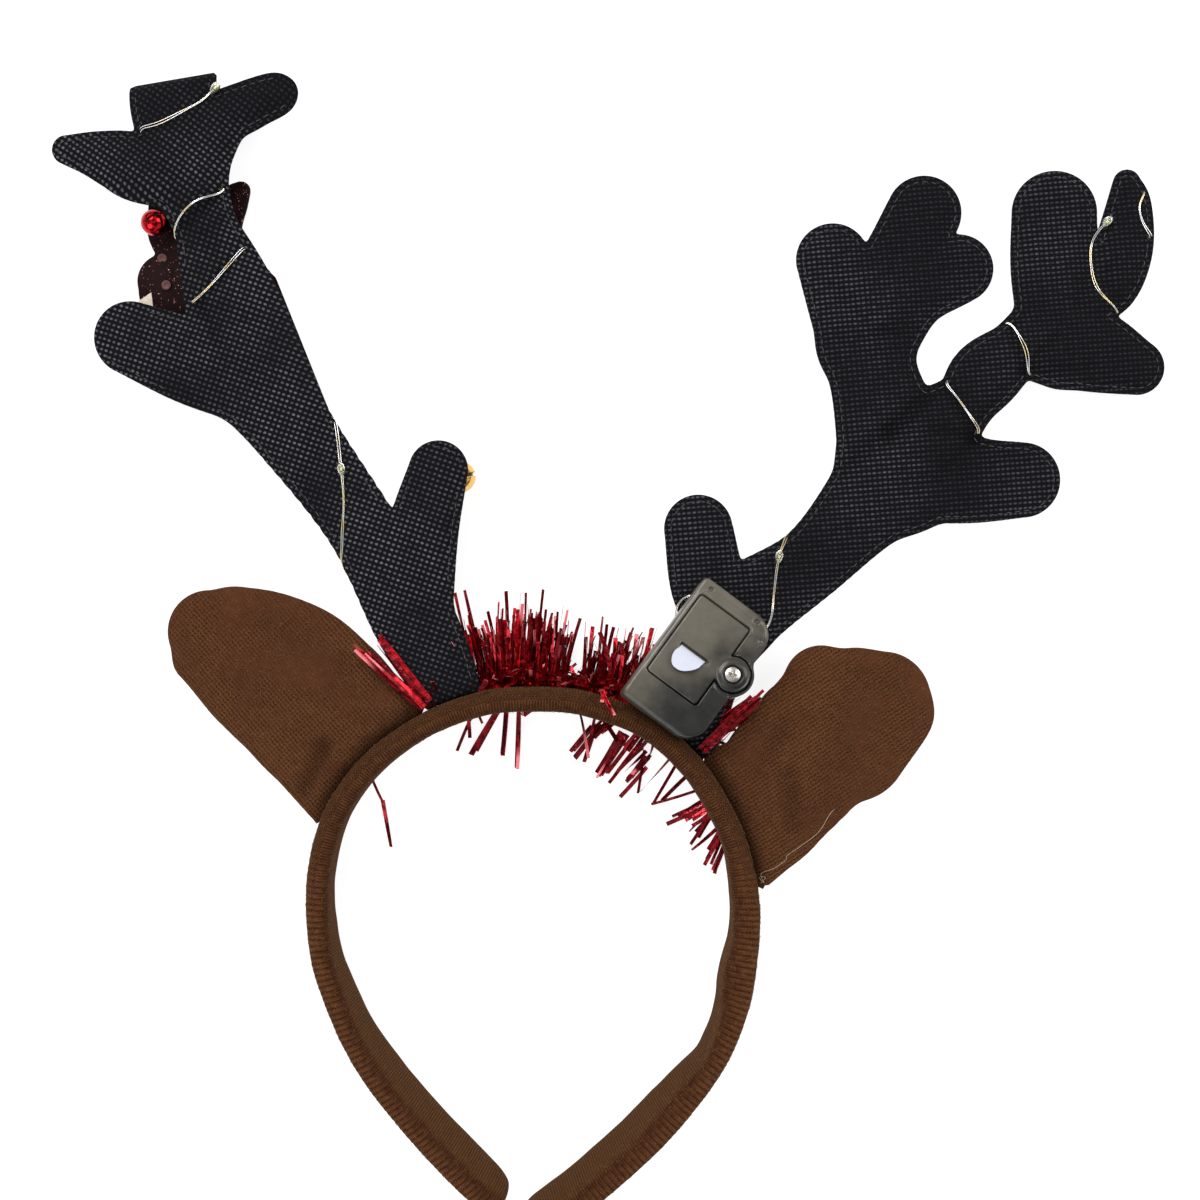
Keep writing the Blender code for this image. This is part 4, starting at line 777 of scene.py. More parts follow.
@finish("Ear Knit")
def ear_knit(net):
    """Brown brushed knit of the ears: fine slanting ribs under loose fibres."""
    given = settings().knit
    place, cloth = net.place(), net.cloth()
    ribs = net.group(stitch_group(), {"Map": cloth, "Pitch": 1.25, "Column": 2.4, "Slant": 0.3})
    fuzz = net.group(fuzz_group(), {"Place": place, "Scale": 1700.0})
    region = net.noise(place, 45.0, 3.0)
    patches = net.noise(place, 330.0, 4.0, 0.65)
    shown = net.times(net.step(region, 0.3, 0.55), net.step(patches, 0.1, 0.6))
    rib = net.times(ribs[0], shown)
    relief = net.plus(net.times(fuzz["Height"], 1.1),
                      net.plus(net.times(rib, 0.8), net.times(patches, 0.8)))
    shade = net.plus(net.times(rib, -0.36), net.times(fuzz["Shade"], 0.55))
    shade = net.plus(shade, net.times(patches, 0.5))
    shade = net.plus(shade, net.times(region, 0.3))
    base = net.mix(net.step(shade, 0.2, 0.85), tuple(given.shadow), tuple(given.color))
    base = net.mix(net.times(net.step(region, 0.6, 0.42), 0.45), base, (0.075, 0.024, 0.012))
    # Painted shade: the knit goes near black in the creases and in the valley by the band.
    base = net.mix(net.times(net.value("fold"), 0.9), base, (0.012, 0.004, 0.002))
    net.surface({
        "Base Color": net.mix(net.times(fuzz["Specks"], 0.4), base, (0.3, 0.16, 0.08)),
        "Roughness": 0.95,
        "Specular IOR Level": 0.05,
        "Sheen Weight": 0.1,
        "Sheen Roughness": 0.5,
        "Sheen Tint": (0.5, 0.3, 0.18),
        "Normal": net.bump(relief, 0.0006, 1.0),
    })


@finish("Tinsel Film")
def tinsel_film(net):
    """Crimson metallised film; the ends of some strips have lost their metal and show pink."""
    given = settings().tinsel
    crinkle = net.noise(net.place(), 520.0, 2.0)
    spots = net.step(crinkle, 0.35, 0.75)
    # The tone value is each strip's own tone, darkened as painted shade where the strip lies low.
    tone = net.times(net.plus(net.value("tone"), 0.15), net.plus(spots, 0.3))
    base = net.mix(tone, tuple(given.dark), tuple(given.bright))
    bare = net.value("bare")
    net.surface({
        # Painted highlight: chosen strip ends turn pale pink and lose most of their metallic look.
        "Base Color": net.mix(bare, base, (0.95, 0.22, 0.25)),
        "Metallic": net.scaled(bare, -0.7, 0.72),
        "Roughness": net.scaled(crinkle, 0.16, 0.08),
        "Normal": net.bump(crinkle, 0.0004, 0.7),
    })


@finish("Box Plastic")
def case_plastic(net):
    """Dark olive-grey moulded plastic, glossy, with smudges and dust in its grooves."""
    given = settings().box
    place = net.place()
    marks = net.group(handling_group(), {"Place": place})
    # Painted reflection: a gradient across the box, broken up by blotches, steps from the dark colour to the
    # lit plastic colour.
    painted_reflection = net.vector("DOT_PRODUCT", place, (-0.45, 0.9, 0.0), out=1)
    blotch = net.noise(place, 75.0, 3.0, 0.6)
    painted_reflection = net.scaled(blotch, 0.05, painted_reflection)
    base = net.mix(net.step(painted_reflection, -0.006, 0.03), tuple(given.dark), tuple(given.plastic))
    dusty = net.times(marks["Dust"], 0.25)
    grain = net.noise(place, 5200.0, 1.0)
    net.surface({
        "Base Color": net.mix(dusty, base, (0.3, 0.28, 0.24)),
        "Roughness": net.plus(net.times(marks["Smudge"], 0.22),
                              net.scaled(marks["Scratch"], 0.15, 0.2)),
        "Specular IOR Level": 0.5,
        "Normal": net.bump(net.scaled(grain, 0.02, blotch), 0.0012, 0.5),
    })


@finish("Screw Steel")
def screw_steel(net):
    """Bright plated steel, brushed and a little worn."""
    marks = net.group(handling_group(), {"Place": net.place()})
    net.surface({
        "Base Color": net.mix(marks["Smudge"], (0.42, 0.38, 0.33), (0.8, 0.78, 0.74)),
        "Metallic": 1.0,
        "Roughness": net.scaled(marks["Smudge"], 0.3, 0.12),
    })


@finish("Tab Film")
def tab_film(net):
    """Pale lilac-white film of the battery tab."""
    marks = net.group(handling_group(), {"Place": net.place()})
    net.surface({
        "Base Color": net.mix(marks["Smudge"], (0.53, 0.55, 0.66), (0.68, 0.69, 0.78)),
        "Roughness": net.scaled(marks["Smudge"], 0.2, 0.25),
        "Normal": net.bump(marks["Smudge"], 0.0001, 0.3),
    })


@finish("Silver Wire")
def silver_wire(net):
    """Bright wire whose lacquer gives it warm stretches."""
    warm = net.step(net.noise(net.place(), 120.0, 2.0), 0.45, 0.62)
    net.surface({
        "Base Color": net.mix(warm, (0.86, 0.86, 0.84), (0.9, 0.74, 0.42)),
        "Metallic": 0.9,
        "Roughness": net.scaled(warm, 0.1, 0.2),
    })


@finish("Drop Resin")
def drop_resin(net):
    """Clear yellow-green resin of a lamp's drop."""
    cloud = net.noise(net.place(), 500.0, 2.0)
    net.surface({
        "Base Color": net.mix(cloud, (0.86, 0.9, 0.62), (0.95, 0.97, 0.84)),
        "Transmission Weight": 0.9,
        "Roughness": net.scaled(cloud, 0.12, 0.02),
        "IOR": 1.5,
    })


@finish("Lamp Chip")
def lamp_chip(net):
    """Yellow phosphor on the lamp's chip."""
    net.surface({
        "Base Color": net.mix(net.noise(net.place(), 2600.0), (0.75, 0.62, 0.05), (0.85, 0.8, 0.3)),
        "Roughness": 0.5,
    })


@finish("Rose Sequin")
def sequin_film(net):
    """Dull rose film of the sequins."""
    tone = net.noise(net.place(), 600.0, 2.0)
    net.surface({
        "Base Color": net.mix(tone, (0.05, 0.012, 0.012), (0.13, 0.04, 0.035)),
        "Metallic": 0.3,
        "Roughness": net.scaled(tone, 0.2, 0.4),
    })


def bell_metal(name, color, dark):
    """Polished bell metal, near black inside its slot."""
    def build(net):
        marks = net.group(handling_group(), {"Place": net.place()})
        base = net.mix(marks["Smudge"], tuple(c * 0.75 for c in color), color)
        # The inside value is painted shade: the slot is made near black, as the hollow bell would be dark
        # there.
        inside = net.value("inside")
        net.surface({
            "Base Color": net.mix(inside, base, dark),
            "Metallic": net.scaled(inside, -0.5, 1.0),
            "Roughness": net.scaled(marks["Smudge"], 0.14,
                                  net.scaled(inside, 0.4, 0.08)),
        })
    return new_material(name, build)


def stitch_thread(name="Stitch Thread", pale=(0.085, 0.08, 0.08), dark=(0.02, 0.018, 0.018), scale=1500.0):
    """Spun thread, lighter along its twist."""
    def build(net):
        place = net.place()
        twist = net.noise(place, scale, 2.0)
        net.surface({
            "Base Color": net.mix(twist, dark, pale),
            "Roughness": 0.7,
            "Specular IOR Level": 0.2,
            "Normal": net.bump(twist, 0.0001, 0.6),
        })
    return new_material(name, build)


@finish("Cream Cloth")
def cream_cloth(net):
    """Plain cream cloth with a fine weave."""
    fuzz = net.group(fuzz_group(), {"Place": net.place(), "Scale": 2400.0})
    net.surface({
        "Base Color": net.mix(fuzz["Shade"], (0.5, 0.42, 0.3), (0.85, 0.78, 0.66)),
        "Roughness": 0.9,
        "Specular IOR Level": 0.15,
        "Normal": net.bump(fuzz["Height"], 0.0001, 0.6),
    })


@finish("Pale Floor")
def pale_floor(net):
    """The plain floor, lit from below like a light table, so that shadows on it stay faint."""
    grain = net.noise(net.place(), 3.0, 2.0)
    net.surface({
        "Base Color": net.mix(grain, (0.31, 0.31, 0.31), (0.33, 0.33, 0.33)),
        "Roughness": 0.9,
        "Specular IOR Level": 0.1,
        "Emission Color": (1.0, 1.0, 1.0),
        "Emission Strength": 0.85,
    })


# Band

def band_path():
    """Rows x, y, thickness, lean and lift of the middle of the band, close together."""
    rows = smooth_rows(BAND, 24)
    share = (rows[:, 1] - BAND_LOW_AT) / (BAND_HIGH_AT - BAND_LOW_AT)
    return np.column_stack([rows, BAND_LOW + (BAND_HIGH - BAND_LOW) * share])


def band_frame(path):
    """The unit direction and the outward unit normal in plan at each row of the band's path."""
    tangent = unit(np.gradient(path[:, :2], axis=0))
    return tangent, np.column_stack([-tangent[:, 1], tangent[:, 0]])


def band_section(columns):
    """Even steps round |t|^p + |w|^p = 1, from the front edge by the outer face and the back edge."""
    a = np.linspace(-math.pi / 2, 1.5 * math.pi, 721)
    power = 2 / BAND_SQUARENESS
    t = np.sign(np.cos(a)) * np.abs(np.cos(a)) ** power
    w = np.sign(np.sin(a)) * np.abs(np.sin(a)) ** power
    travelled = along(np.column_stack([t * 4.0, w * BAND_WIDTH / 2]))
    share = np.arange(columns) / columns
    travelled /= travelled[-1]
    return np.interp(share, travelled, t), np.interp(share, travelled, w), share


def build_band():
    """The band: the section carried along the path, closed round at its ends, with ribs and a seam ridge.

    The relief is ribs of sin(2 pi u / pitch) along both corners of the back edge, a ridge along its middle
    and a soft unevenness of the padding. The right leg's sides stand out further, by the tables.
    """
    path = band_path()
    length = along(path[:, :2])[-1]
    ends = 3.0 * (1 - np.cos(np.linspace(0, math.pi / 2, 9)))
    middle = np.linspace(3.0, length - 3.0, 930)[1:-1]
    at = np.concatenate([ends, middle, length - ends[::-1]])
    rows = resampled(path, 2, at)
    _, outward = band_frame(rows)
    t, w, share = band_section(72)
    from_end = np.minimum(at, length - at)
    narrow = 0.28 + 0.72 * np.sqrt(1 - (1 - np.clip(from_end / (BAND_WIDTH / 2), 0, 1)) ** 2)
    close = np.sqrt(np.maximum(1 - (1 - np.clip(from_end / 3.0, 0, 1)) ** 2, 1e-4))
    half_w = (BAND_WIDTH / 2 * narrow * close)[:, None]
    half_t = (rows[:, 2] / 2 * (0.45 + 0.55 * narrow) * close)[:, None]
    around = share * BAND_PERIMETER
    top = np.exp(-((around - BAND_PERIMETER / 2) / 4.2) ** 4)
    corners = np.exp(-((around - 21.8) / 1.2) ** 2) + np.exp(-((around - 30.2) / 1.2) ** 2)
    rib = np.sin(2 * math.pi * at / (settings().knit.rib / MM))[:, None]
    ridge = np.exp(-((around - 26.4) / 0.5) ** 2) * 0.16 - np.exp(-((around - 25.4) / 0.5) ** 2) * 0.12
    lumps = ripple(at[:, None], around[None, :], 26.0, 3) * 0.16
    lumps = lumps + ripple(at[:, None], around[None, :], 9.0, 4) * 0.06
    relief = (rib * corners * 0.06 + ridge * top + lumps) * close[:, None]
    normal_t = np.gradient(np.concatenate([w[-1:], w, w[:1]]))[1:-1] * 10
    normal_w = -np.gradient(np.concatenate([t[-1:], t, t[:1]]))[1:-1] * 4
    normals = unit(np.column_stack([normal_t, normal_w]))
    swell = np.zeros(len(rows))
    for x, y, high, reach in INNER_BUMPS:
        swell += high * np.exp(-(np.hypot(rows[:, 0] - x, rows[:, 1] - y) / reach) ** 2)
    on_right = smooth_share(-rows[:, 1], 50.0, 75.0) * (rows[:, 0] > -32.0)
    swell += np.interp(-rows[:, 1], LEG_DOWN, LEG_INNER) * on_right
    spread = np.interp(-rows[:, 1], LEG_DOWN, LEG_OUTER) * on_right
    side = half_t * t + relief * normals[:, 0] - swell[:, None] * smooth_share(-t, 0.0, 1.0)
    side += spread[:, None] * smooth_share(t, 0.0, 1.0)
    high = half_w * w + relief * normals[:, 1]
    lean = np.radians(rows[:, 3])[:, None]
    base = rows[:, 4:5] + BAND_WIDTH / 2 * np.cos(lean) + rows[:, 2:3] / 2 * np.sin(lean)
    out = side * np.cos(lean) + high * np.sin(lean)
    z = high * np.cos(lean) - side * np.sin(lean) + base
    plan = rows[:, None, :2] + out[..., None] * outward[:, None]
    points = np.concatenate([plan, z[..., None]], axis=-1)
    flat, faces = tubes(points[None])
    _, places = grid(len(at), len(t))
    uv = np.stack([at[places[..., 0]], places[..., 1] * BAND_PERIMETER / len(t)], axis=-1)
    end_uv = np.zeros(faces[1].shape + (2,))
    band = put_mesh("headband_knit", flat, faces, [band_knit()], uv=[uv, end_uv])
    dress(band, "brown_knit", "headband")
    random = np.random.default_rng(9)
    row, column = random.integers(20, len(at) - 20, 2600), random.integers(24, 48, 2600)
    run = points[row + 1, column] - points[row - 1, column]
    up = unit(np.cross(points[row, column + 1] - points[row, column - 1], run))
    build_hairs("headband_fibres", points[row, column], up, 1.2, 10)


def band_clearance(x, y):
    """How far points lie outside the band's outer face, in plan: negative inside its loop."""
    path = band_path()[::12]
    apart = np.full(np.shape(x), 1e9)
    clearance = np.full(np.shape(x), -1e9)
    for a, b in zip(path[:-1], path[1:]):
        distance = distance_to_segment(x, y, a[0], a[1], b[0], b[1])
        outside = (x - a[0]) * (a[1] - b[1]) + (y - a[1]) * (b[0] - a[0]) > 0
        clearance = np.where(distance < apart, np.where(outside, distance, -distance) - (a[2] + b[2]) / 4,
                             clearance)
        apart = np.minimum(apart, distance)
    return clearance


# Sewn pads

def limb_field(pad, x, y):
    """Distance to the round union of each limb's discs, negative inside, and the middle sheet's height.

    The height is the mean of the discs' heights, weighted by nearness.
    """
    field = np.full(x.shape, 1e9)
    weight = np.zeros(x.shape)
    height = np.zeros(x.shape)
    for discs in pad["discs"]:
        apart = np.hypot(x[..., None] - discs[:, 0], y[..., None] - discs[:, 1])
        limb = (apart - discs[:, 2]).min(axis=-1)
        near = 1.0 / (apart**2 + 9.0) ** 2
        weight += near.sum(axis=-1)
        height += (near * discs[:, 3]).sum(axis=-1)
        blend = np.maximum(CROTCH - np.abs(field - limb), 0.0) / CROTCH
        field = np.minimum(field, limb) - blend**2 * CROTCH / 4
    return field, height / weight


def pad_field(pad, x, y):
    """The limbs' field, cut where it meets the band and where the cloth is folded."""
    field, _ = limb_field(pad, x, y)
    for fold in pad["folds"]:
        field = np.maximum(field, past_fold(fold, x, y))
    if pad["on_band"]:
        field = np.maximum(field, GAP + 0.25 - band_clearance(x, y))
    return field


def gradient(field, x, y):
    """The unit direction in which a field grows fastest, and how fast."""
    step = 0.05
    dx = field(x + step, y) - field(x - step, y)
    dy = field(x, y + step) - field(x, y - step)
    size = np.hypot(dx, dy) + 1e-9
    return dx / size, dy / size, size / (2 * step)


def drawn_to(field, x, y, level=0.0):
    """Move points straight onto one level of a field."""
    gx, gy, slope = gradient(field, x, y)
    off = np.clip((field(x, y) - level) / np.maximum(slope, 0.3), -4.0, 4.0)
    return x - off * gx, y - off * gy


def plan_mesh(field, low, high, spacing, corners=()):
    """A flat mesh of triangles inside a field's outline: an even grid, its rim drawn onto it and eased."""
    lift = spacing * math.sqrt(3) / 2
    lo, hi = np.asarray(low) - 2 * spacing, np.asarray(high) + 2 * spacing
    ny, nx = int((hi[1] - lo[1]) / lift) + 2, int((hi[0] - lo[0]) / spacing) + 2
    j, i = np.meshgrid(np.arange(ny), np.arange(nx), indexing="ij")
    x = (lo[0] + (i + 0.5 * (j % 2)) * spacing).ravel()
    y = (lo[1] + j * lift).ravel()
    node = np.arange(ny * nx).reshape(ny, nx)
    a, b, c, d = node[:-1, :-1], node[:-1, 1:], node[1:, :-1], node[1:, 1:]
    even = ((np.arange(ny - 1) % 2 == 0)[:, None] & np.ones_like(a, bool))[..., None]
    first = np.where(even, np.stack([a, b, c], -1), np.stack([a, d, c], -1))
    second = np.where(even, np.stack([b, d, c], -1), np.stack([a, b, d], -1))
    triangles = np.vstack([first.reshape(-1, 3), second.reshape(-1, 3)])
    inner = field(x, y) < -0.42 * spacing
    triangles = triangles[inner[triangles].sum(axis=1) >= 1]
    used, triangles = np.unique(triangles, return_inverse=True)
    triangles = triangles.reshape(-1, 3)
    x, y, rim = x[used], y[used], ~inner[used]
    edges = np.sort(np.vstack([triangles[:, [0, 1]], triangles[:, [1, 2]], triangles[:, [2, 0]]]), axis=1)
    count = np.bincount(edges.ravel(), minlength=len(x))
    for _ in range(10):
        x[rim], y[rim] = drawn_to(field, x[rim], y[rim])
        ease = np.where(rim, 0.12, 0.5)
        for axis in (x, y):
            total = np.bincount(edges[:, 0], axis[edges[:, 1]], len(x))
            total += np.bincount(edges[:, 1], axis[edges[:, 0]], len(x))
            axis += ease * (total / count - axis)
    for _ in range(4):
        x[rim], y[rim] = drawn_to(field, x[rim], y[rim])
    for corner_x, corner_y in corners:
        nearest = np.argmin(np.where(rim, np.hypot(x - corner_x, y - corner_y), 1e9))
        x[nearest], y[nearest] = corner_x, corner_y
    return x, y, triangles


def rim_edges(triangles):
    """The directed edges of a plan mesh that only one triangle has."""
    directed = np.vstack([triangles[:, [0, 1]], triangles[:, [1, 2]], triangles[:, [2, 0]]])
    size = triangles.max() + 1
    forward = directed[:, 0].astype(np.int64) * size + directed[:, 1]
    backward = directed[:, 1].astype(np.int64) * size + directed[:, 0]
    return directed[~np.isin(forward, backward)]


def ordered_rim(triangles):
    """The rim's points in order, by doubling jumps: each point's way to the end is summed over its jump."""
    edges = rim_edges(triangles)
    index = np.unique(edges)
    after = np.searchsorted(index, edges[np.argsort(edges[:, 0]), 1])
    last = np.flatnonzero(after == 0)[0]
    after[last] = last
    steps = np.ones(len(index))
    steps[last] = 0
    for _ in range(int(math.log2(len(index))) + 1):
        steps, after = steps + steps[after], after[after]
    return index[np.argsort(-steps)]


def closed_sheet(x, y, triangles, upper, lower, outward, bulge, levels=3):
    """Points and faces of the solid between two heights over one plan mesh, and each face's side.

    Its wall stands out by bulge * sin(pi s) at the share s of its way down. Sides are 0 the upper surface,
    1 the wall's upper half, 2 its lower half and 3 the lower surface.
    """
    count = len(x)
    edges = rim_edges(triangles)
    rim = np.unique(edges)
    number = np.searchsorted(rim, edges)
    ids = [rim]
    points = [np.column_stack([x, y, upper]), np.column_stack([x, y, lower])]
    for k in range(1, levels + 1):
        a = math.pi * k / (levels + 1)
        height = upper[rim] + (lower[rim] - upper[rim]) * (1 - math.cos(a)) / 2
        out = bulge * math.sin(a)
        wall_x, wall_y = x[rim] + outward[0][rim] * out, y[rim] + outward[1][rim] * out
        points.append(np.column_stack([wall_x, wall_y, height]))
        ids.append(2 * count + (k - 1) * len(rim) + np.arange(len(rim)))
    ids.append(rim + count)
    walls = [np.column_stack([top[number[:, 1]], top[number[:, 0]], low[number[:, 0]], low[number[:, 1]]])
             for top, low in zip(ids[:-1], ids[1:])]
    half = len(walls) // 2
    sides = np.concatenate([np.zeros(len(triangles)), np.full(len(triangles), 3)]
                           + [np.full(len(w), 1 if k < half else 2) for k, w in enumerate(walls)])
    return np.vstack(points), [np.vstack([triangles, triangles[:, ::-1] + count]), np.vstack(walls)], sides


def pad_of(limbs, folds=(), creases=(), on_band=True, thickness=ANTLER_THICKNESS, edge=ANTLER_EDGE,
           flange=FLANGE, dip=STITCH_DIP, corners=(), seed=1, valley=False, fade=None):
    """The values of one sewn pad, with each limb's discs spaced along a smooth line."""
    rows = np.vstack([np.asarray(r, float) for r in limbs.values()])
    return {"discs": [smooth_rows(r, 8) for r in limbs.values()], "folds": folds, "creases": creases,
            "on_band": on_band, "thickness": thickness, "edge": edge, "flange": flange, "dip": dip,
            "corners": corners, "seed": seed, "valley": valley, "fade": fade,
            "low": (rows[:, :2] - rows[:, 2:3]).min(axis=0),
            "high": (rows[:, :2] + rows[:, 2:3]).max(axis=0)}


def pad_surfaces(pad, x, y):
    """The upper and lower heights of a pad.

    Half the thickness is the seam's flat flange, a dip at the topstitch, then a quarter sine up to the full
    padding, less a soft nip along each crease. The middle sheet waves gently. Near a fold both heights close
    on the fold's middle as a quarter round: by sqrt(1 - (1 - e / r)^2) at the distance e inside it.
    """
    field, middle = limb_field(pad, x, y)
    depth = -field
    rise = np.clip((depth - pad["flange"]) / RISE, 0.0, 1.0)
    full = (pad["thickness"] - pad["edge"]) / 2
    half = pad["edge"] / 2 + full * np.sin(rise * math.pi / 2)
    half -= pad["dip"] * np.exp(-((depth - STITCH_IN) / 0.55) ** 2)
    nipped = np.zeros(x.shape)
    for x0, y0, x1, y1, deep, half_width in pad["creases"]:
        nipped += deep * np.exp(-(distance_to_segment(x, y, x0, y0, x1, y1) / half_width) ** 2)
    if pad["valley"]:
        nipped += VALLEY_DEPTH * np.exp(-(np.maximum(band_clearance(x, y), 0.0) / VALLEY_REACH) ** 2)
    loose = 0.4 + 0.6 * rise
    half += (ripple(x, y, 17.0, pad["seed"]) * 0.22 + ripple(x, y, 7.0, pad["seed"] + 1) * 0.07) * rise
    half = np.maximum(half - nipped, 0.35)
    middle = middle + ripple(x, y, 34.0, pad["seed"] + 2) * 0.35 * loose
    upper, lower = middle + half, middle - half
    for fold in pad["folds"]:
        inside = np.clip(-past_fold(fold, x, y) / fold[5], 0.0, 1.0)
        share = np.sqrt(1 - (1 - inside) ** 2)
        upper = fold[4] + (upper - fold[4]) * share
        lower = fold[4] + (lower - fold[4]) * share
    short = np.maximum(0.4 - (upper - lower), 0.0) / 2
    return upper + short, np.maximum(lower - short, 0.12)


def pad_shades(pad, x, y):
    """How deep points lie in a crease or by the band, and how far the dots are faded, from 0 to 1."""
    fold = np.zeros(len(x))
    for x0, y0, x1, y1, deep, half_width in pad["creases"]:
        fold += CREASE_SHADE * deep * np.exp(-(distance_to_segment(x, y, x0, y0, x1, y1) / half_width) ** 2)
    if pad["on_band"]:
        deepest = VALLEY_SHADE if pad["valley"] else ROOT_SHADE
        fold += deepest * np.exp(-(np.maximum(band_clearance(x, y), 0.0) / SHADE_REACH) ** 2)
    across, low, high = pad["fade"] or (0.0, 1e3, 1e4)
    return {"fold": np.clip(fold, 0.0, 0.95), "faded": 0.85 * smooth_share(y + across * x, low, high)}


def turned_map(x, y, degrees, pitch):
    """Map coordinates in a lattice's own steps, its rows turned by an angle."""
    a = np.radians(degrees)
    return np.stack([x * np.cos(a) + y * np.sin(a), y * np.cos(a) - x * np.sin(a)], axis=-1) / pitch


def make_pad(name, pad, spacing, materials, degrees, pitch, bulge=0.35, back_up=True):
    """A sewn pad as a piece: its upper skin wears the first material and its lower skin the second."""
    x, y, triangles = plan_mesh(lambda u, v: pad_field(pad, u, v), pad["low"], pad["high"], spacing,
                                pad["corners"])
    upper, lower = pad_surfaces(pad, x, y)
    gx, gy, _ = gradient(lambda u, v: pad_field(pad, u, v), x, y)
    points, faces, sides = closed_sheet(x, y, triangles, upper, lower, (gx, gy), bulge)
    turn = degrees(x, y) if callable(degrees) else degrees
    rows = turned_map(points[:, 0], points[:, 1], turn if np.isscalar(turn) else 0.0, pitch)
    if not np.isscalar(turn):
        rim = np.unique(rim_edges(triangles))
        again = (len(points) - 2 * len(x)) // len(rim)
        every = np.concatenate([turn, turn] + [turn[rim]] * again)
        px, py = CROWN_PIVOT
        rows = turned_map(points[:, 0] - px, points[:, 1] - py, every, pitch)
    skin = (sides >= 2).astype(int)
    finish = skin if back_up else 1 - skin
    shades = pad_shades(pad, points[:, 0], points[:, 1])
    obj = put_mesh(name, points, faces, materials, uv=rows, finish=finish, values=shades)
    return obj, (x, y, triangles)


def topstitches(name, pad, plan, keep=None):
    """A dashed row of stitches: short round capsules laid on the upper skin, a set distance inside the edge.

    The rim is moved onto the stitch line, cut into even steps, and each stitch arches over its length.
    """
    x, y, triangles = plan
    order = ordered_rim(triangles)
    line_x, line_y = x[order], y[order]
    field = lambda u, v: limb_field(pad, u, v)[0]
    for _ in range(6):
        line_x, line_y = drawn_to(field, line_x, line_y, -STITCH_IN)
    line = np.column_stack([line_x, line_y])
    line = np.vstack([line, line[:1]])
    step = np.linalg.norm(np.diff(line, axis=0), axis=1)
    line = line[np.concatenate([[True], step > 0.05])]
    length = along(line)[-1]
    count = int(length / STITCH_PITCH)
    share = np.linspace(-0.5, 0.5, 6)
    at = (np.arange(count)[:, None] + 0.5) * length / count + share * STITCH_LENGTH
    spots = resampled(line, 2, at.ravel())
    upper, _ = pad_surfaces(pad, spots[:, 0], spots[:, 1])
    own = np.abs(pad_field(pad, spots[:, 0], spots[:, 1]) - field(spots[:, 0], spots[:, 1]))
    own = own.reshape(count, -1)
    arch = np.tile(STITCH_RADIUS * (1.5 - 6.0 * share**2), count)
    centre = np.column_stack([spots, upper + arch]).reshape(count, -1, 3)
    kept = (own.max(axis=1) < 0.05) & (np.linalg.norm(np.diff(centre, axis=1), axis=2).max(axis=1) < 1.2)
    if keep is not None:
        kept &= keep(centre[:, 2, 0], centre[:, 2, 1])
    centre = centre[kept]
    tangent = unit(np.gradient(centre, axis=1))
    side = unit(np.cross(tangent, UP))
    up = np.cross(side, tangent)
    radius = STITCH_RADIUS * np.sqrt(np.maximum(1 - (2 * share) ** 2, 0.06))
    rings = round_tube(centre, side, up, np.broadcast_to(radius, centre.shape[:2]), 6)
    put_tubes(name, rings, stitch_thread(), "antler_cloth")


def crown_turn(x, y):
    """The rows' direction on the left antler: it turns from the beam's to the crown's past the tie."""
    return ROWS_LEFT + (ROWS_CROWN - ROWS_LEFT) * smooth_share(y, 138.0, 158.0)


PADS = {
    "left": pad_of(ANTLER_LEFT, (FOLD_BRANCH, FOLD_LOBE), CREASES_LEFT, seed=21, fade=CROWN_FADE),
    "right": pad_of(ANTLER_RIGHT, (), CREASES_RIGHT, seed=31),
    "branch": pad_of(BRANCH_LEFT, (FOLD_BRANCH,), on_band=False, thickness=FOLDED_THICKNESS, seed=41),
    "lobe": pad_of(LOBE_LEFT, (FOLD_LOBE,), on_band=False, thickness=FOLDED_THICKNESS, seed=51),
}


def build_antler_right():
    """The right antler, laid out flat, with its topstitch."""
    pitch = settings().antler.pitch / MM * 0.96
    skins = [black_cloth("Black Dotted Cloth, Right", 0.55, (0.72, 1.2, 0.0)), glitter_cloth()]
    obj, plan = make_pad("antler_right_cloth", PADS["right"], PAD_SPACING, skins, ROWS_RIGHT, pitch)
    dress(obj, "antler_cloth", "antler_right")
    topstitches("antler_right_stitches", PADS["right"], plan)


def build_antler_left():
    """The left antler, with its branch and its crown's upright lobe folded forward under it."""
    pitch = settings().antler.pitch / MM
    skins = [black_cloth(), glitter_cloth()]
    obj, plan = make_pad("antler_left_cloth", PADS["left"], PAD_SPACING, skins, crown_turn, pitch)
    dress(obj, "antler_cloth", "antler_left")
    topstitches("antler_left_stitches", PADS["left"], plan, lambda u, v: ripple(u, v, 26.0, 7) > -0.1)
    for name in ("branch", "lobe"):
        obj, _ = make_pad("antler_left_" + name, PADS[name], PAD_SPACING, skins, ROWS_FOLDED, pitch,
                          back_up=False)
        dress(obj, "antler_cloth", "antler_left")
    build_sequins(PADS["branch"])


def build_sequins(pad):
    """Round dished sequins on the glitter: rings of a thin dish, at the height of the skin."""
    spots = np.array(SEQUINS)
    upper, _ = pad_surfaces(pad, spots[:, 0], spots[:, 1])
    a = all_round(20)
    radius = np.array([0.1, 0.8, 1.5, 1.62, 1.5, 0.8, 0.1])
    height = np.array([0.16, 0.2, 0.42, 0.36, 0.3, 0.06, 0.02])
    ring = np.stack([np.cos(a), np.sin(a)], axis=-1)
    flat = radius[:, None, None] * ring
    tall = np.broadcast_to(height[:, None, None], (len(spots), len(radius), len(a), 1))
    rings = np.concatenate([np.broadcast_to(flat, (len(spots),) + flat.shape), tall], axis=-1)
    rings = rings + np.column_stack([spots, upper])[:, None, None, :]
    put_tubes("branch_sequins", rings[:, ::-1], sequin_film(), "antler_cloth")


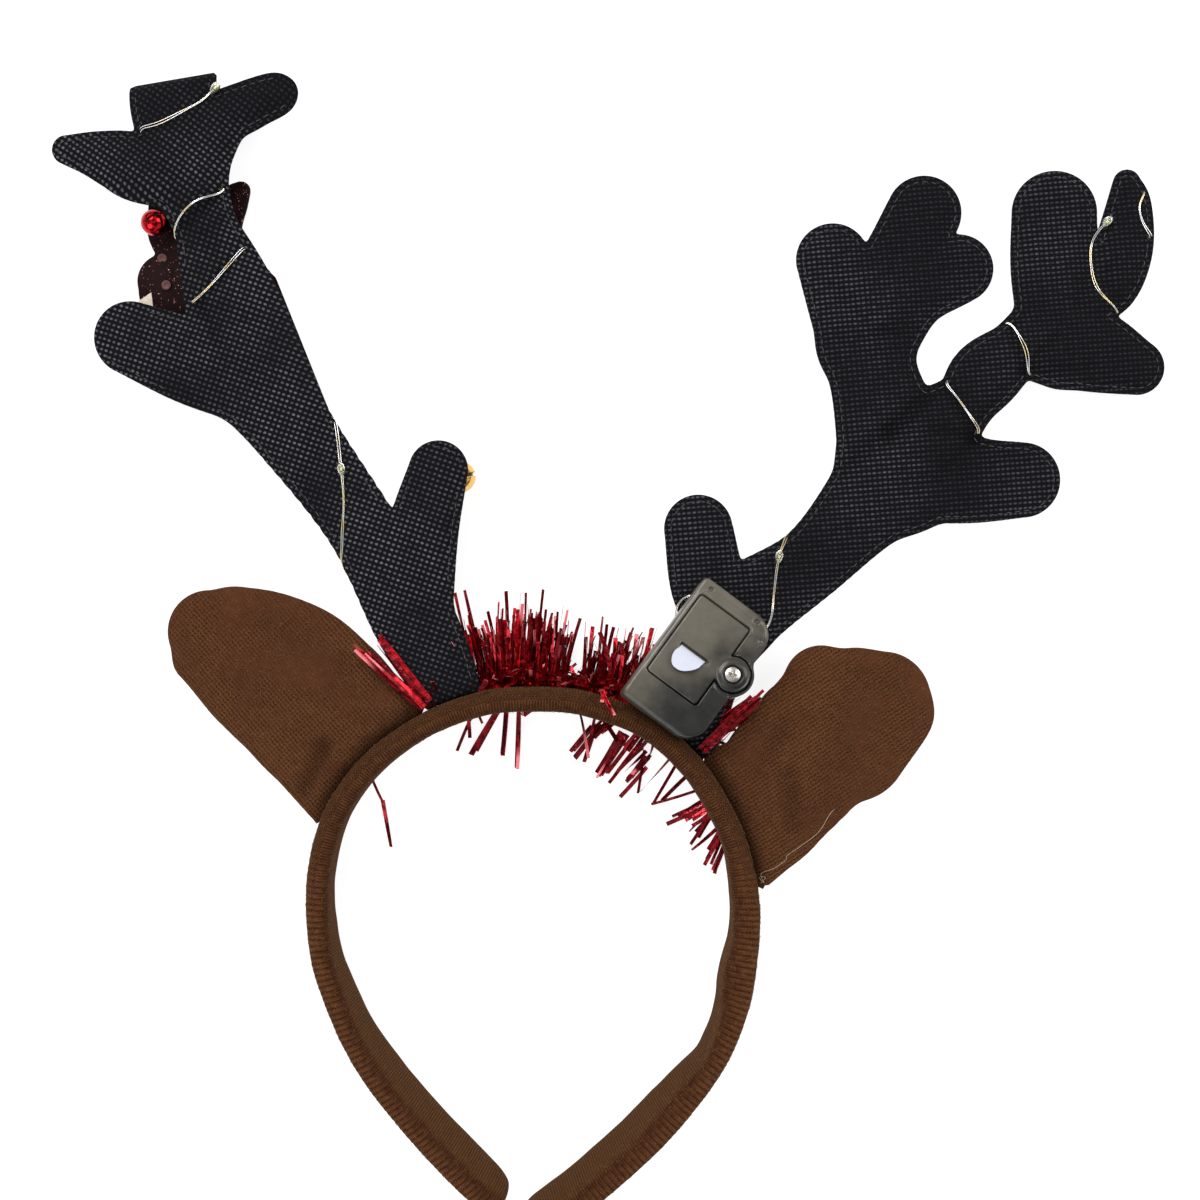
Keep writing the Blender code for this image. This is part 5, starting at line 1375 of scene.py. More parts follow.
def build_hairs(name, root, up, direction, seed):
    """Loose fibres: thin tubes along root + way * s + up * lift * sin(pi s), curling to one side."""
    random = np.random.default_rng(seed)
    n = len(root)
    a = direction + random.normal(0, 0.7, n)
    way = np.stack([np.cos(a), np.sin(a), np.zeros(n)], axis=-1)
    way = unit(way - up * (way * up).sum(axis=1, keepdims=True))
    side = np.cross(up, way)
    s = np.linspace(0, 1, 5)[None, :, None]
    length = random.uniform(0.3, 1.2, n)[:, None, None]
    lift = random.uniform(0.02, 0.2, n)[:, None, None]
    curl = random.normal(0, 0.25, n)[:, None, None]
    line = root[:, None] + length * (way[:, None] * s + side[:, None] * curl * s * s) \
        + up[:, None] * (0.05 + lift * np.sin(math.pi * s))
    tangent = unit(np.gradient(line, axis=1))
    across = unit(np.cross(tangent, up[:, None]))
    radius = random.uniform(0.025, 0.05, n)[:, None] * np.ones(5)
    thread = stitch_thread("Knit Fibre", (0.3, 0.16, 0.075), (0.12, 0.05, 0.02), 900.0)
    put_tubes(name, round_tube(line, across, np.cross(across, tangent), radius, 3), thread, "brown_knit")


def build_ears():
    """The two ears: brushed knit pads with soft edges and a crease at their roots."""
    for name, limbs, corners, creases, turn, seed in (
            ("ear_left", EAR_LEFT, EAR_LEFT_CORNERS, CREASES_EAR_LEFT, 42.0, 61),
            ("ear_right", EAR_RIGHT, EAR_RIGHT_CORNERS, CREASES_EAR_RIGHT, -58.0, 71)):
        pad = pad_of(limbs, (), creases, thickness=EAR_THICKNESS, edge=EAR_EDGE, flange=0.0, dip=0.0,
                     corners=corners, seed=seed, valley=True)
        skin = ear_knit()
        obj, _ = make_pad(name + "_knit", pad, EAR_SPACING, [skin, skin], turn, 1.0, bulge=1.0)
        dress(obj, "brown_knit", name)
        random = np.random.default_rng(seed)
        x, y = random.uniform(pad["low"], pad["high"], (4200, 2)).T
        inside = pad_field(pad, x, y) < -1.2
        upper, _ = pad_surfaces(pad, x, y)
        root = np.column_stack([x, y, upper])[inside]
        up = np.broadcast_to(UP, root.shape)
        build_hairs(name + "_fibres", root, up, math.radians(turn + 90), seed)


# Tinsel

def core_line(at):
    """The tinsel core's points at distances along the band from its crown, and the outward normals."""
    path = band_path()
    _, outward = band_frame(path)
    travelled = along(path[:, :2])
    zero = travelled[np.argmax(path[:, 1])]
    line = path[:, :2] + outward * (path[:, 2:3] / 2 + CORE_OFFSET)
    place = [np.interp(at + zero, travelled, column) for column in (*line.T, *outward.T)]
    return np.stack(place[:2] + [np.full(np.shape(at), CORE_HEIGHT)], axis=-1), np.stack(place[2:], axis=-1)


def zone_strips(random):
    """The strips of every zone, as lines, with their lengths.

    A strip leaves the core at its swing and rise, and bends off by curl * s^2 to the side and upwards at the
    share s of its length.
    """
    share = settings().tinsel.fullness
    rows = []
    for start, end, count, short, long, swing, middle, lowest, highest, curl in STRIPS:
        n = max(int(count * share), 1)
        rows.append(np.column_stack([
            random.uniform(start, end, n), random.uniform(short, long, n),
            np.radians(middle + random.normal(0, swing / 2, n)),
            np.radians(random.uniform(lowest, highest, n)),
            random.normal(0, curl, n), random.normal(0, curl, n), random.uniform(-3.0, 0.2, n),
            random.uniform(-0.8, 9.0, n)]))
    at, length, swing, rise, bend, lift, inward, high = np.vstack(rows).T
    root, outward = core_line(at)
    n = np.concatenate([outward, np.zeros((len(at), 1))], axis=1)
    across = np.stack([-n[:, 1], n[:, 0], np.zeros(len(at))], axis=-1)
    root = root + n * inward[:, None] + UP * high[:, None]
    flat_way = n * np.cos(swing)[:, None] + across * np.sin(swing)[:, None]
    way = flat_way * np.cos(rise)[:, None] + UP * np.sin(rise)[:, None]
    sideways = np.cross(UP, flat_way)
    s = np.linspace(0, 1, STRIP_STEPS)[None, :, None]
    line = root[:, None] + length[:, None, None] * (
        way[:, None] * s + sideways[:, None] * (bend[:, None, None] * s**2)
        + UP * (lift[:, None, None] * s**2 * 0.6))
    line[..., 2] = np.maximum(line[..., 2], 0.9)
    # The last value picks the strips whose ends get the painted pink highlight.
    return line, random.uniform(-math.pi, math.pi, len(at)), random.uniform(0, 1, len(at)) > 0.9


def bunch_strips(random):
    """The strips laid by hand: near copies of each row, spread to its sides, and nearly straight."""
    table = np.array(BUNCHES)
    rows = np.repeat(table, table[:, 6].astype(int), axis=0)
    n = len(rows)
    start, end = rows[:, [0, 1, 4]], rows[:, [2, 3, 5]]
    way = end - start
    side = unit(np.stack([-way[:, 1], way[:, 0], np.zeros(n)], axis=-1))
    shift, fan, longer, bend, high = random.normal(0, 1, (5, n, 1))
    spread = rows[:, 7:8]
    start = start + side * shift * spread
    end = end + side * (shift + 0.5 * fan) * spread + way * longer * 0.07
    s = np.linspace(0, 1, STRIP_STEPS)[None, :, None]
    line = start[:, None] + (end - start)[:, None] * s + side[:, None] * (bend[:, None] * 0.7 * s * (1 - s))
    line[..., 2] += high * 0.2 + (s * (1 - s))[..., 0] * 0.8
    # About half the strips of the bunches marked in the table's last column get the painted pink highlight
    # at their tips.
    bare = (rows[:, 8] > 0) & (random.uniform(0, 1, n) < 0.5)
    return line, random.normal(0, 0.35, n), bare


def build_tinsel():
    """The garland: a thin core and many flat strips, each rolled about its line and twisted along."""
    given = settings().tinsel
    random = np.random.default_rng(STRIP_SEED)
    line, roll, bare = (np.concatenate(pair) for pair in zip(zone_strips(random), bunch_strips(random)))
    n = len(line)
    twist, tone = random.normal(0, 0.6, n), random.uniform(0, 1, n) ** 1.5
    # Painted shade: strips lying low, under the band's edge, get a darker tone.
    tone = tone * np.clip(line[:, 3, 2] / 12.0, 0.25, 1.0)
    s = np.linspace(0, 1, STRIP_STEPS)[None, :, None]
    tangent = unit(np.gradient(line, axis=1))
    first = unit(np.cross(tangent, UP))
    second = np.cross(first, tangent)
    angle = roll[:, None, None] + twist[:, None, None] * s
    wide = first * np.cos(angle) + second * np.sin(angle)
    thin = second * np.cos(angle) - first * np.sin(angle)
    width = given.width / MM / 2 * random.uniform(0.7, 1.15, n)[:, None, None]
    corners = np.array([(1, 1), (-1, 1), (-1, -1), (1, -1)])[::-1]
    rings = np.stack([line + wide * width * u + thin * STRIP_THICK / 2 * v for u, v in corners], axis=2)
    each = np.broadcast_to(s, rings.shape[:3])
    tones = np.broadcast_to(tone[:, None, None], rings.shape[:3])
    # The ends past 0.74 of their length carry the painted pink highlight.
    painted_pink_glint_ends = (each > 0.74) & bare[:, None, None]
    put_tubes("tinsel_strips", rings, tinsel_film(), "tinsel_film", "tinsel_garland",
              values={"tone": tones.ravel(), "bare": painted_pink_glint_ends.ravel().astype(float)}, sharp=30)
    build_core()


def build_core():
    """The garland's core: two wires twisted round each other in a helix."""
    at = np.linspace(CORE_FROM, CORE_TO, 420)
    line, outward = core_line(at)
    n = np.concatenate([outward, np.zeros((len(at), 1))], axis=1)
    tangent = unit(np.gradient(line, axis=0))
    plies = []
    for phase in (0.0, math.pi):
        a = at * 2 * math.pi / 5.0 + phase
        ply = line + 0.35 * (n * np.cos(a)[:, None] + UP * np.sin(a)[:, None])
        second = np.broadcast_to(UP, ply.shape)
        plies.append(round_tube(ply, np.cross(UP, tangent), second, CORE_RADIUS / 2, 6))
    put_tubes("tinsel_core", np.stack(plies), silver_wire(), "silver_wire")


# Battery box

def box_matrix():
    """From the box's own frame (long side along x, back along +z, bottom at 0) to the part's."""
    height = BOX_LOWEST + BOX_LENGTH / 2 * math.sin(math.radians(BOX_TILT))
    turn = Matrix.Rotation(math.radians(BOX_TURN), 4, "Z") @ Matrix.Rotation(math.radians(BOX_TILT), 4, "Y")
    return np.array(Matrix.Translation((BOX_CENTER[0], BOX_CENTER[1], height)) @ turn)


def in_part(points):
    """Points of the box's own frame, in the part's."""
    place = box_matrix()
    return points @ place[:3, :3].T + place[:3, 3]


def plate_field(x, y, length, width, corners, center=(0.0, 0.0)):
    """Distance to a rectangle with rounded corners, negative inside.

    corners are the radii at (+x, +y), (-x, +y), (-x, -y) and (+x, -y).
    """
    u, v = x - center[0], y - center[1]
    right, left = np.where(v > 0, corners[0], corners[3]), np.where(v > 0, corners[1], corners[2])
    radius = np.where(u > 0, right, left)
    du, dv = np.abs(u) - length / 2 + radius, np.abs(v) - width / 2 + radius
    return np.hypot(np.maximum(du, 0), np.maximum(dv, 0)) + np.minimum(np.maximum(du, dv), 0) - radius


def disc_field(x, y, radius, center):
    """Distance to a disc, negative inside."""
    return np.hypot(x - center[0], y - center[1]) - radius


def soft_union(first, second, reach):
    """The lesser of two fields, with a fillet of about reach where they meet."""
    blend = np.maximum(reach - np.abs(first - second), 0.0) / reach
    return np.minimum(first, second) - blend**2 * reach / 4


def case_field(x, y):
    """The case's outline: the plate with the round wall of the screw's lobe."""
    plate = plate_field(x, y, BOX_LENGTH, BOX_WIDTH, BOX_CORNERS)
    return soft_union(plate, disc_field(x, y, LOBE_RADIUS + LOBE_WALL, LOBE_AT), 1.6)


def door_field(x, y):
    """The door's outline: its plate with the round lobe of its screw."""
    plate = plate_field(x, y, DOOR_LENGTH, DOOR_WIDTH, (DOOR_CORNER,) * 4, DOOR_CENTER)
    return soft_union(plate, disc_field(x, y, LOBE_RADIUS, LOBE_AT), 0.5)


def slot_field(x, y):
    """The outline of the door's slot."""
    return plate_field(x, y, SLOT_WIDTH, SLOT_LENGTH, (0.5,) * 4, SLOT_AT)


def rounded_down(depth, radius):
    """How far a quarter-round edge lies below its top: r - sqrt(r^2 - (r - d)^2) at the depth d."""
    inside = np.clip(depth, 0.0, radius)
    return radius - np.sqrt(np.maximum(radius**2 - (radius - inside) ** 2, 0.0))


def case_top(x, y):
    """The height of the case's back.

    It is the plate's top, round at its edge, with the door's pocket sunk in it, a lip round the pocket, two
    blind holes, one with a ring round it, a shallow dimple and a raised rib along the end.
    """
    depth = -case_field(x, y)
    edge = door_field(x, y) - GAP
    top = BOX_DEPTH - rounded_down(depth, BOX_RIM)
    top = top + 0.18 * np.exp(-((edge - 0.55) / 0.3) ** 2)
    top -= 0.35 * smooth_share(-disc_field(x, y, 7.4, LOBE_AT), 0.0, 0.6) * smooth_share(edge, 0.0, 0.4)
    rib = np.exp(-((plate_field(x, y, BOX_LENGTH - 4.2, BOX_WIDTH - 3.6, (5.0,) * 4)) / 0.28) ** 2)
    top += 0.16 * rib * smooth_share(x, 12.0, 15.0)
    for hole_x, hole_y, radius in HOLES:
        top -= 0.9 * smooth_share(-disc_field(x, y, radius, (hole_x, hole_y)), -0.15, 0.25)
    ring = np.hypot(x - HOLES[1][0], y - HOLES[1][1])
    top += 0.2 * np.exp(-((ring - 1.3) / 0.25) ** 2)
    top -= 0.4 * np.exp(-(np.hypot(x - DIMPLE_AT[0], y - DIMPLE_AT[1]) / 0.8) ** 2)
    pocket = smooth_share(-edge, -0.1, 0.16)
    return top * (1 - pocket) + (BOX_DEPTH - DOOR_DEPTH - GAP) * pocket


def door_top(x, y):
    """The height of the door's back: flat, round at its edge, with its slot, its screw's well and a ring."""
    depth = -door_field(x, y)
    top = BOX_DEPTH - rounded_down(depth, 0.45)
    top -= 1.5 * smooth_share(-slot_field(x, y), -0.12, 0.2)
    top -= 0.12 * np.exp(-((slot_field(x, y) - 0.5) / 0.3) ** 2)
    away = np.hypot(x - LOBE_AT[0], y - LOBE_AT[1])
    top += 0.22 * np.exp(-((away - SCREW_WELL - 0.55) / 0.4) ** 2)
    top -= SCREW_DEPTH * smooth_share(SCREW_WELL - away, -0.1, 0.3)
    top -= 0.25 * np.exp(-((away - SCREW_WELL - 1.7) / 0.3) ** 2)
    return top


def relief_piece(name, field, top, bottom, spacing, low, high, material, bulge=0.0, sharp=None):
    """A piece of the box: a plan mesh with its own height, and a straight wall down to its flat bottom."""
    x, y, triangles = plan_mesh(field, low, high, spacing)
    upper = top(x, y)
    gx, gy, _ = gradient(field, x, y)
    points, faces, _ = closed_sheet(x, y, triangles, upper, np.full(len(x), bottom), (gx, gy), bulge)
    return put_mesh(name, in_part(points), faces, [material], sharp=sharp)


def build_box():
    """The battery box: its case, its door with slot and screw well, the screw and the pull tab."""
    half_x, half_y = BOX_LENGTH / 2, BOX_WIDTH / 2
    case = relief_piece("battery_case_shell", case_field, case_top, 0.0, BOX_SPACING, (-half_x, -half_y - 4),
                        (half_x, half_y), case_plastic(), sharp=50)
    dress(case, "case_plastic", "battery_case")
    door = relief_piece("battery_door_shell", door_field, door_top, BOX_DEPTH - DOOR_DEPTH,
                        BOX_SPACING * 0.9, (-13.5, -17.5), (18.5, 13.0), case_plastic(), sharp=50)
    dress(door, "case_plastic", "battery_door")
    build_screw()
    build_tab()


def build_screw():
    """The screw's head: rings of a shallow dome with a cross sunk in it, and a straight rim."""
    a = all_round(64)
    rim = [SCREW_HEAD, SCREW_HEAD, SCREW_HEAD * 0.9]
    r = np.concatenate([np.linspace(0.02, SCREW_HEAD * 0.94, 22), rim])
    u, v = r[:, None] * np.cos(a + 0.5), r[:, None] * np.sin(a + 0.5)
    dome = BOX_DEPTH - 0.12 - 0.4 * (r[:, None] / SCREW_HEAD) ** 2
    arm = np.minimum(plate_field(u, v, 2.9, 0.62, (0.2,) * 4), plate_field(u, v, 0.62, 2.9, (0.2,) * 4))
    z = dome - 0.9 * smooth_share(-arm, -0.1, 0.16)
    z[-2:] = np.array([[BOX_DEPTH - 1.0], [BOX_DEPTH - 1.1]])
    rings = np.stack([u * np.cos(0.3) - v * np.sin(0.3) + LOBE_AT[0],
                      u * np.sin(0.3) + v * np.cos(0.3) + LOBE_AT[1], z], axis=-1)
    put_tubes("door_screw_head", in_part(rings[None, ::-1]), screw_steel(), "screw_steel", "door_screw",
              sharp=40)


def build_tab():
    """The pull tab: a half-round film that comes out of the slot and lies a little off the door."""
    s = np.linspace(0, 1, 26)
    t = np.linspace(-1, 1, 31)
    reach = (TAB_REACH + 0.6) * np.sqrt(np.maximum(1 - np.abs(t) ** 2.4, 0.0))
    x = SLOT_AT[0] - 0.2 - s[:, None] * reach[None, :]
    out = SLOT_AT[0] - 0.2 - x
    y = SLOT_AT[1] + t * TAB_WIDTH / 2 * (1 + 0.1 * np.sin(np.clip(out / 7.0, 0, 1) * math.pi)) + 0.26 * out
    z = BOX_DEPTH + 0.25 + 1.5 * np.sin(np.clip(out / 7.6, 0, 1) * math.pi * 0.55) - 0.9 * np.exp(-out / 0.5)
    upper = np.stack([x, y, z + TAB_THICK / 2], axis=-1)
    lower = np.stack([x, y, z - TAB_THICK / 2], axis=-1)
    rings = np.concatenate([upper, lower[:, ::-1]], axis=1)
    put_tubes("pull_tab_film", in_part(rings[None, ::-1]), tab_film(), "tab_film", "pull_tab", sharp=50)


# Bells

def build_bell(name, node, bell, tilt, turn, material, slot):
    """A jingle bell: a ball with a ridge round its middle and a slot with round ends across its back.

    The radius is R, plus a ridge of exp(-(latitude / w)^2), less the slot's depth where it is cut.
    """
    x, y, radius, rests_on = bell
    a = all_round(96)
    b = np.linspace(-math.pi / 2 + 0.02, math.pi / 2 - 0.02, 60)
    u = np.cos(b)[:, None] * np.cos(a)
    v = np.cos(b)[:, None] * np.sin(a)
    w = np.broadcast_to(np.sin(b)[:, None], u.shape)
    ridge = 0.02 * np.exp(-(w / 0.05) ** 2)
    arc = plate_field(u, v, 1.6, 0.22, (0.11,) * 4)
    cut = smooth_share(-arc, -0.03, 0.03) * (w > 0)
    r = radius * (0.98 + ridge - 0.22 * cut)
    turned = np.array(Euler((math.radians(tilt[0]), math.radians(tilt[1]), math.radians(turn))).to_matrix())
    rings = np.stack([r * u, r * v, r * w], axis=-1) @ turned.T + (x, y, rests_on + radius)
    # The slot's mask also marks the painted shade inside it.
    put_tubes(name, rings[None], material, slot, node, values={"inside": cut.ravel()}, sharp=60)


def build_bells():
    """The red bell on the folded branch and the gold bell under the inner tine."""
    # The last colour of each bell is the painted shade inside its slot.
    red = bell_metal("Red Lacquer", (0.55, 0.012, 0.02), (0.02, 0.0, 0.0))
    gold = bell_metal("Gold Metal", (0.85, 0.55, 0.16), (0.05, 0.03, 0.0))
    build_bell("red_bell_ball", "red_bell", RED_BELL, (-16, 20), 35, red, "red_metal")
    build_bell("gold_bell_ball", "gold_bell", GOLD_BELL, (0, 70), 10, gold, "gold_metal")


# Lights

def tree_of(names):
    """A search tree over the surfaces of the named pieces, in metres."""
    points, faces, base = [], [], 0
    for name in names:
        mesh = bpy.data.objects[name].data
        mesh.calc_loop_triangles()
        co = np.empty(len(mesh.vertices) * 3, np.float32)
        mesh.vertices.foreach_get("co", co)
        corners = np.empty(len(mesh.loop_triangles) * 3, np.int32)
        mesh.loop_triangles.foreach_get("vertices", corners)
        points.append(co.reshape(-1, 3))
        faces.append(corners.reshape(-1, 3) + base)
        base += len(mesh.vertices)
    return BVHTree.FromPolygons(np.vstack(points).tolist(), np.vstack(faces).tolist())


def pushed_clear(point, tree, distance):
    """A point moved out along the nearest surface's normal until it is a distance from it."""
    place = Vector(point) * MM
    for _ in range(12):
        near, normal, _, apart = tree.find_nearest(place)
        away = place - near
        inside = away.dot(normal) < 0
        if not inside and apart >= distance * MM:
            break
        out = normal if inside or apart < 1e-7 else away.normalized()
        place = near + out * (distance + 0.03) * MM
    place.z = max(place.z, distance * MM)
    return np.array(place) / MM


def eased(line, times):
    """A line with every point but its ends drawn towards its neighbours' middle, a number of times."""
    for _ in range(times):
        line = np.vstack([line[:1], 0.25 * line[:-2] + 0.5 * line[1:-1] + 0.25 * line[2:], line[-1:]])
    return line


def off_surface(point, tree):
    """The unit way from the nearest surface to a point."""
    near, normal, _, _ = tree.find_nearest(Vector(point) * MM)
    away = Vector(point) * MM - near
    return np.array(away.normalized() if away.length > 1e-7 else normal)


def placed_rows(rows, pad):
    """Points of a route: its back and front rows lie on the pad, its edge rows stand off its outline."""
    points = []
    for x, y, place in rows:
        px, py = np.array([x]), np.array([y])
        if place in (BACK, FRONT, EDGE):
            upper, lower = pad_surfaces(pad, px, py)
            height = {BACK: upper + WIRE_CLEAR, FRONT: lower - WIRE_CLEAR, EDGE: (upper + lower) / 2}[place]
            if place == EDGE:
                gx, gy, _ = gradient(lambda u, v: pad_field(pad, u, v), px, py)
                out = WIRE_CLEAR + 0.3 - pad_field(pad, px, py)
                px, py = px + gx * out, py + gy * out
            points.append((px[0], py[0], height[0]))
        else:
            points.append((x, y, place))
    return np.array(points)


def lamp_frame(name):
    """The middle of a lamp's solid, and its direction."""
    low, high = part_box(name)
    angle = math.radians(LAMPS[name])
    return np.array((low + high) / 2) / MM, np.array([math.cos(angle), math.sin(angle), 0.0])


def build_wires():
    """Two thin strands side by side along each route.

    The route's smooth line is pushed clear of the cloth. The strands lie across the line, either side of it,
    STRANDS_APART * (0.5 + 0.5 sin) apart, so that they part and meet again.
    """
    skins = {"left": ("antler_left_cloth", "antler_left_branch", "antler_left_lobe"),
             "right": ("antler_right_cloth", "battery_case_shell")}
    trees = {side: tree_of(names + ("headband_knit",)) for side, names in skins.items()}
    for k, (name, (rows, side, first, last)) in enumerate(WIRES.items()):
        points = placed_rows(rows, PADS[side])
        if first:
            center, way = lamp_frame(first)
            points = np.vstack([center + way, center + way * (LAMP_LENGTH / 2 + 1.5), points])
        if last:
            center, way = lamp_frame(last)
            points = np.vstack([points, center - way * (LAMP_LENGTH / 2 + 1.5), center - way])
        line = smooth_rows(points, 5)
        for _ in range(4):
            line = resampled(line, 3, np.linspace(0, along(line)[-1], int(along(line)[-1] / 1.0) + 2))
            held = 3 if first else 0, len(line) - 3 if last else len(line)
            line = np.array([pushed_clear(p, trees[side], WIRE_CLEAR) if held[0] <= i < held[1] else p
                             for i, p in enumerate(line)])
            line = eased(line, 3)
        away = eased(unit(np.array([off_surface(p, trees[side]) for p in line])), 8)
        line = resampled(np.hstack([line, away]), 3, np.linspace(0, along(line)[-1], 2 * len(line)))
        line, away = eased(line[:, :3], 2), unit(line[:, 3:])
        tangent = unit(np.gradient(line, axis=0))
        across = unit(np.cross(tangent, away))
        up = np.cross(across, tangent)
        travelled = along(line)
        apart = STRANDS_APART * (0.42 + 0.5 * ripple(travelled, travelled * 0, 21.0, 80 + k))
        apart = np.maximum(apart, STRAND_RADIUS * 1.02)[:, None]
        strands = [round_tube(line + across * apart * way, across, up, STRAND_RADIUS, 8) for way in (1, -1)]
        put_tubes(name + "_strands", np.stack(strands), silver_wire(), "silver_wire", name)


def build_lamps():
    """Clear drops over small chips: an ellipsoid drawn out where the strands go in at its ends."""
    a = all_round(28)
    b = np.linspace(-math.pi / 2 + 0.03, math.pi / 2 - 0.03, 26)
    for name in LAMPS:
        center, way = lamp_frame(name)
        across = np.cross(way, UP)
        line = center + np.sin(b)[:, None] * LAMP_LENGTH / 2 * way
        radius = LAMP_RADIUS * np.abs(np.cos(b)) ** 1.15 * (1 + 0.06 * np.sin(3 * b))
        first = np.broadcast_to(across, line.shape)
        second = np.broadcast_to(np.cross(across, way) * -1.0, line.shape)
        rings = line[:, None] + radius[:, None, None] * (np.cos(a)[:, None] * second[:, None]
                                                        + np.sin(a)[:, None] * first[:, None])
        put_tubes(name + "_resin", rings[None], drop_resin(), "clear_drop", name)
        corners = np.array([(1, 1), (-1, 1), (-1, -1), (1, -1)]) * 0.55
        chip = np.stack([center + way * s + across * u * k + UP * v * 0.45 * k
                         for s, k in ((-0.6, 0.9), (-0.5, 1.0), (0.5, 1.0), (0.6, 0.9)) for u, v in corners])
        put_tubes(name + "_chip", chip.reshape(1, 4, 4, 3)[:, ::-1], lamp_chip(), "clear_drop", sharp=30)


def build_lights():
    """The string of lights: its wires and its lamps."""
    build_wires()
    build_lamps()


# Small pieces

def build_flap():
    """The cream flap under the left outer tine: a thin sheet between four corners, bent up a little."""
    s, t = np.meshgrid(np.linspace(0, 1, 14), np.linspace(0, 1, 14), indexing="ij")
    a, b, c, d = (np.array(p) for p in CREAM_FLAP)
    flat = ((1 - s) * (1 - t))[..., None] * a + (s * (1 - t))[..., None] * b + (s * t)[..., None] * c \
        + ((1 - s) * t)[..., None] * d
    bend = 0.5 * np.sin(s * math.pi) * np.sin(t * math.pi)
    upper = np.dstack([flat, CREAM_TOP + bend])
    lower = np.dstack([flat, CREAM_BOTTOM + bend])
    rings = np.concatenate([upper, lower[:, ::-1]], axis=1)
    put_tubes("cream_flap_cloth", rings[None], cream_cloth(), "cream_cloth", "cream_flap", sharp=60)


def build_loose_thread():
    """A pale thread caught on the right ear: a thin tube along a smooth line laid on the knit."""
    tree = tree_of(("ear_right_knit", "headband_knit"))
    line = smooth_rows(LOOSE_THREAD, 10)
    line += np.column_stack([ripple(*line.T, 9.0, seed) for seed in (90, 91)]) * 0.5
    rows = []
    for x, y in line:
        hit, _, _, _ = tree.ray_cast(Vector((x * MM, y * MM, 0.05)), Vector((0, 0, -1)))
        rows.append((x, y, (hit.z / MM if hit else 8.0) + 0.15))
    line = np.array(rows)
    tangent = unit(np.gradient(line, axis=0))
    side = unit(np.cross(tangent, UP))
    rings = round_tube(line, side, np.cross(side, tangent), THREAD_RADIUS, 6)
    thread = stitch_thread("Pale Thread", (0.5, 0.42, 0.28), (0.25, 0.2, 0.12))
    put_tubes("loose_thread", rings[None], thread, "brown_knit")


# Stage

CAMERA_AT = (-0.0038, 0.0195, 0.572)
CAMERA_HALF_VIEW = 0.198
CAMERA_DISTANCE = 0.560
FLOOR_SIZE = 8.0
# Soft lights: degrees from straight up, compass way in degrees from +x, strength, width in degrees
LIGHTS = (
    (38, 118, 1.9, 34),
    (52, 20, 1.1, 30),
    (50, 235, 0.9, 40),
)


def build_stage():
    """The floor, soft lights from three sides, a pale surround and the camera straight above."""
    given = settings().stage
    half = FLOOR_SIZE / 2 / MM
    corners = np.array([(-half, -half, 0), (half, -half, 0), (half, half, 0), (-half, half, 0)], float)
    floor = put_mesh("floor", corners, [np.array([[0, 1, 2, 3]])], [pale_floor()])
    for k, (tilt, way, strength, width) in enumerate(LIGHTS):
        light = bpy.data.lights.new("soft_light_%d" % (k + 1), "SUN")
        light.energy = strength * given.light
        light.angle = math.radians(width)
        lamp = bpy.data.objects.new(light.name, light)
        a, b = math.radians(tilt), math.radians(way)
        toward = Vector((math.sin(a) * math.cos(b), math.sin(a) * math.sin(b), math.cos(a)))
        lamp.rotation_euler = toward.to_track_quat("Z", "Y").to_euler()
        lamp.location = toward
        bpy.context.scene.collection.objects.link(lamp)
    world = bpy.data.worlds.new("surround")
    world.use_nodes = True
    net = Net(world.node_tree)
    world.node_tree.nodes.clear()
    patches = net.noise(net.add("ShaderNodeTexCoord", out="Generated"), 2.2, 1.0)
    glow = net.step(patches, 0.46, 0.58, given.surround * 0.3, given.surround * 1.9)
    seen = net.add("ShaderNodeLightPath", out="Is Camera Ray")
    color = net.mix(seen, glow, (0.93, 0.93, 0.93, 1.0))
    background = net.add("ShaderNodeBackground", {"Color": color, "Strength": 1.0}, out=0)
    output = net.add("ShaderNodeOutputWorld", out=None)
    world.node_tree.links.new(background, output.inputs["Surface"])
    bpy.context.scene.world = world
    bpy.context.scene.view_settings.view_transform = "Standard"
    camera = bpy.data.cameras.new("camera")
    camera.angle = 2 * math.atan(CAMERA_HALF_VIEW / CAMERA_DISTANCE)
    obj = bpy.data.objects.new("camera", camera)
    obj.location = CAMERA_AT
    bpy.context.scene.collection.objects.link(obj)
    bpy.context.scene.camera = obj


# Settings

def length_property(name, description, default):
    """A length that the panel shows in the scene's units."""
    return bpy.props.FloatProperty(name=name, description=description, default=default, min=0.0,
                                   unit="LENGTH", precision=5)


def color_property(name, description, default):
    """A colour with its alpha."""
    return bpy.props.FloatVectorProperty(name=name, description=description, default=default, size=4,
                                         min=0.0, max=1.0, subtype="COLOR")


class KnitSettings(bpy.types.PropertyGroup):
    """The brown knit of the band and the ears."""
    rib: length_property("Rib pitch", "Distance between the ribs along the band's edge", 0.0019)
    color: color_property("Knit", "The knit where light reaches it", (0.135, 0.053, 0.0205, 1.0))
    shadow: color_property("Knit shadow", "The knit between its stitches", (0.028, 0.0085, 0.0035, 1.0))


class AntlerSettings(bpy.types.PropertyGroup):
    """The sewn cloth of the antlers."""
    pitch: length_property("Dot pitch", "Distance between the cloth's dots", 0.00175)
    cloth: color_property("Cloth", "The black back cloth", (0.0048, 0.0048, 0.0062, 1.0))
    dots: color_property("Dots", "The embossed dots at their palest", (0.125, 0.125, 0.145, 1.0))
    glitter: color_property("Glitter ground", "The cloth under the glitter", (0.007, 0.0015, 0.002, 1.0))


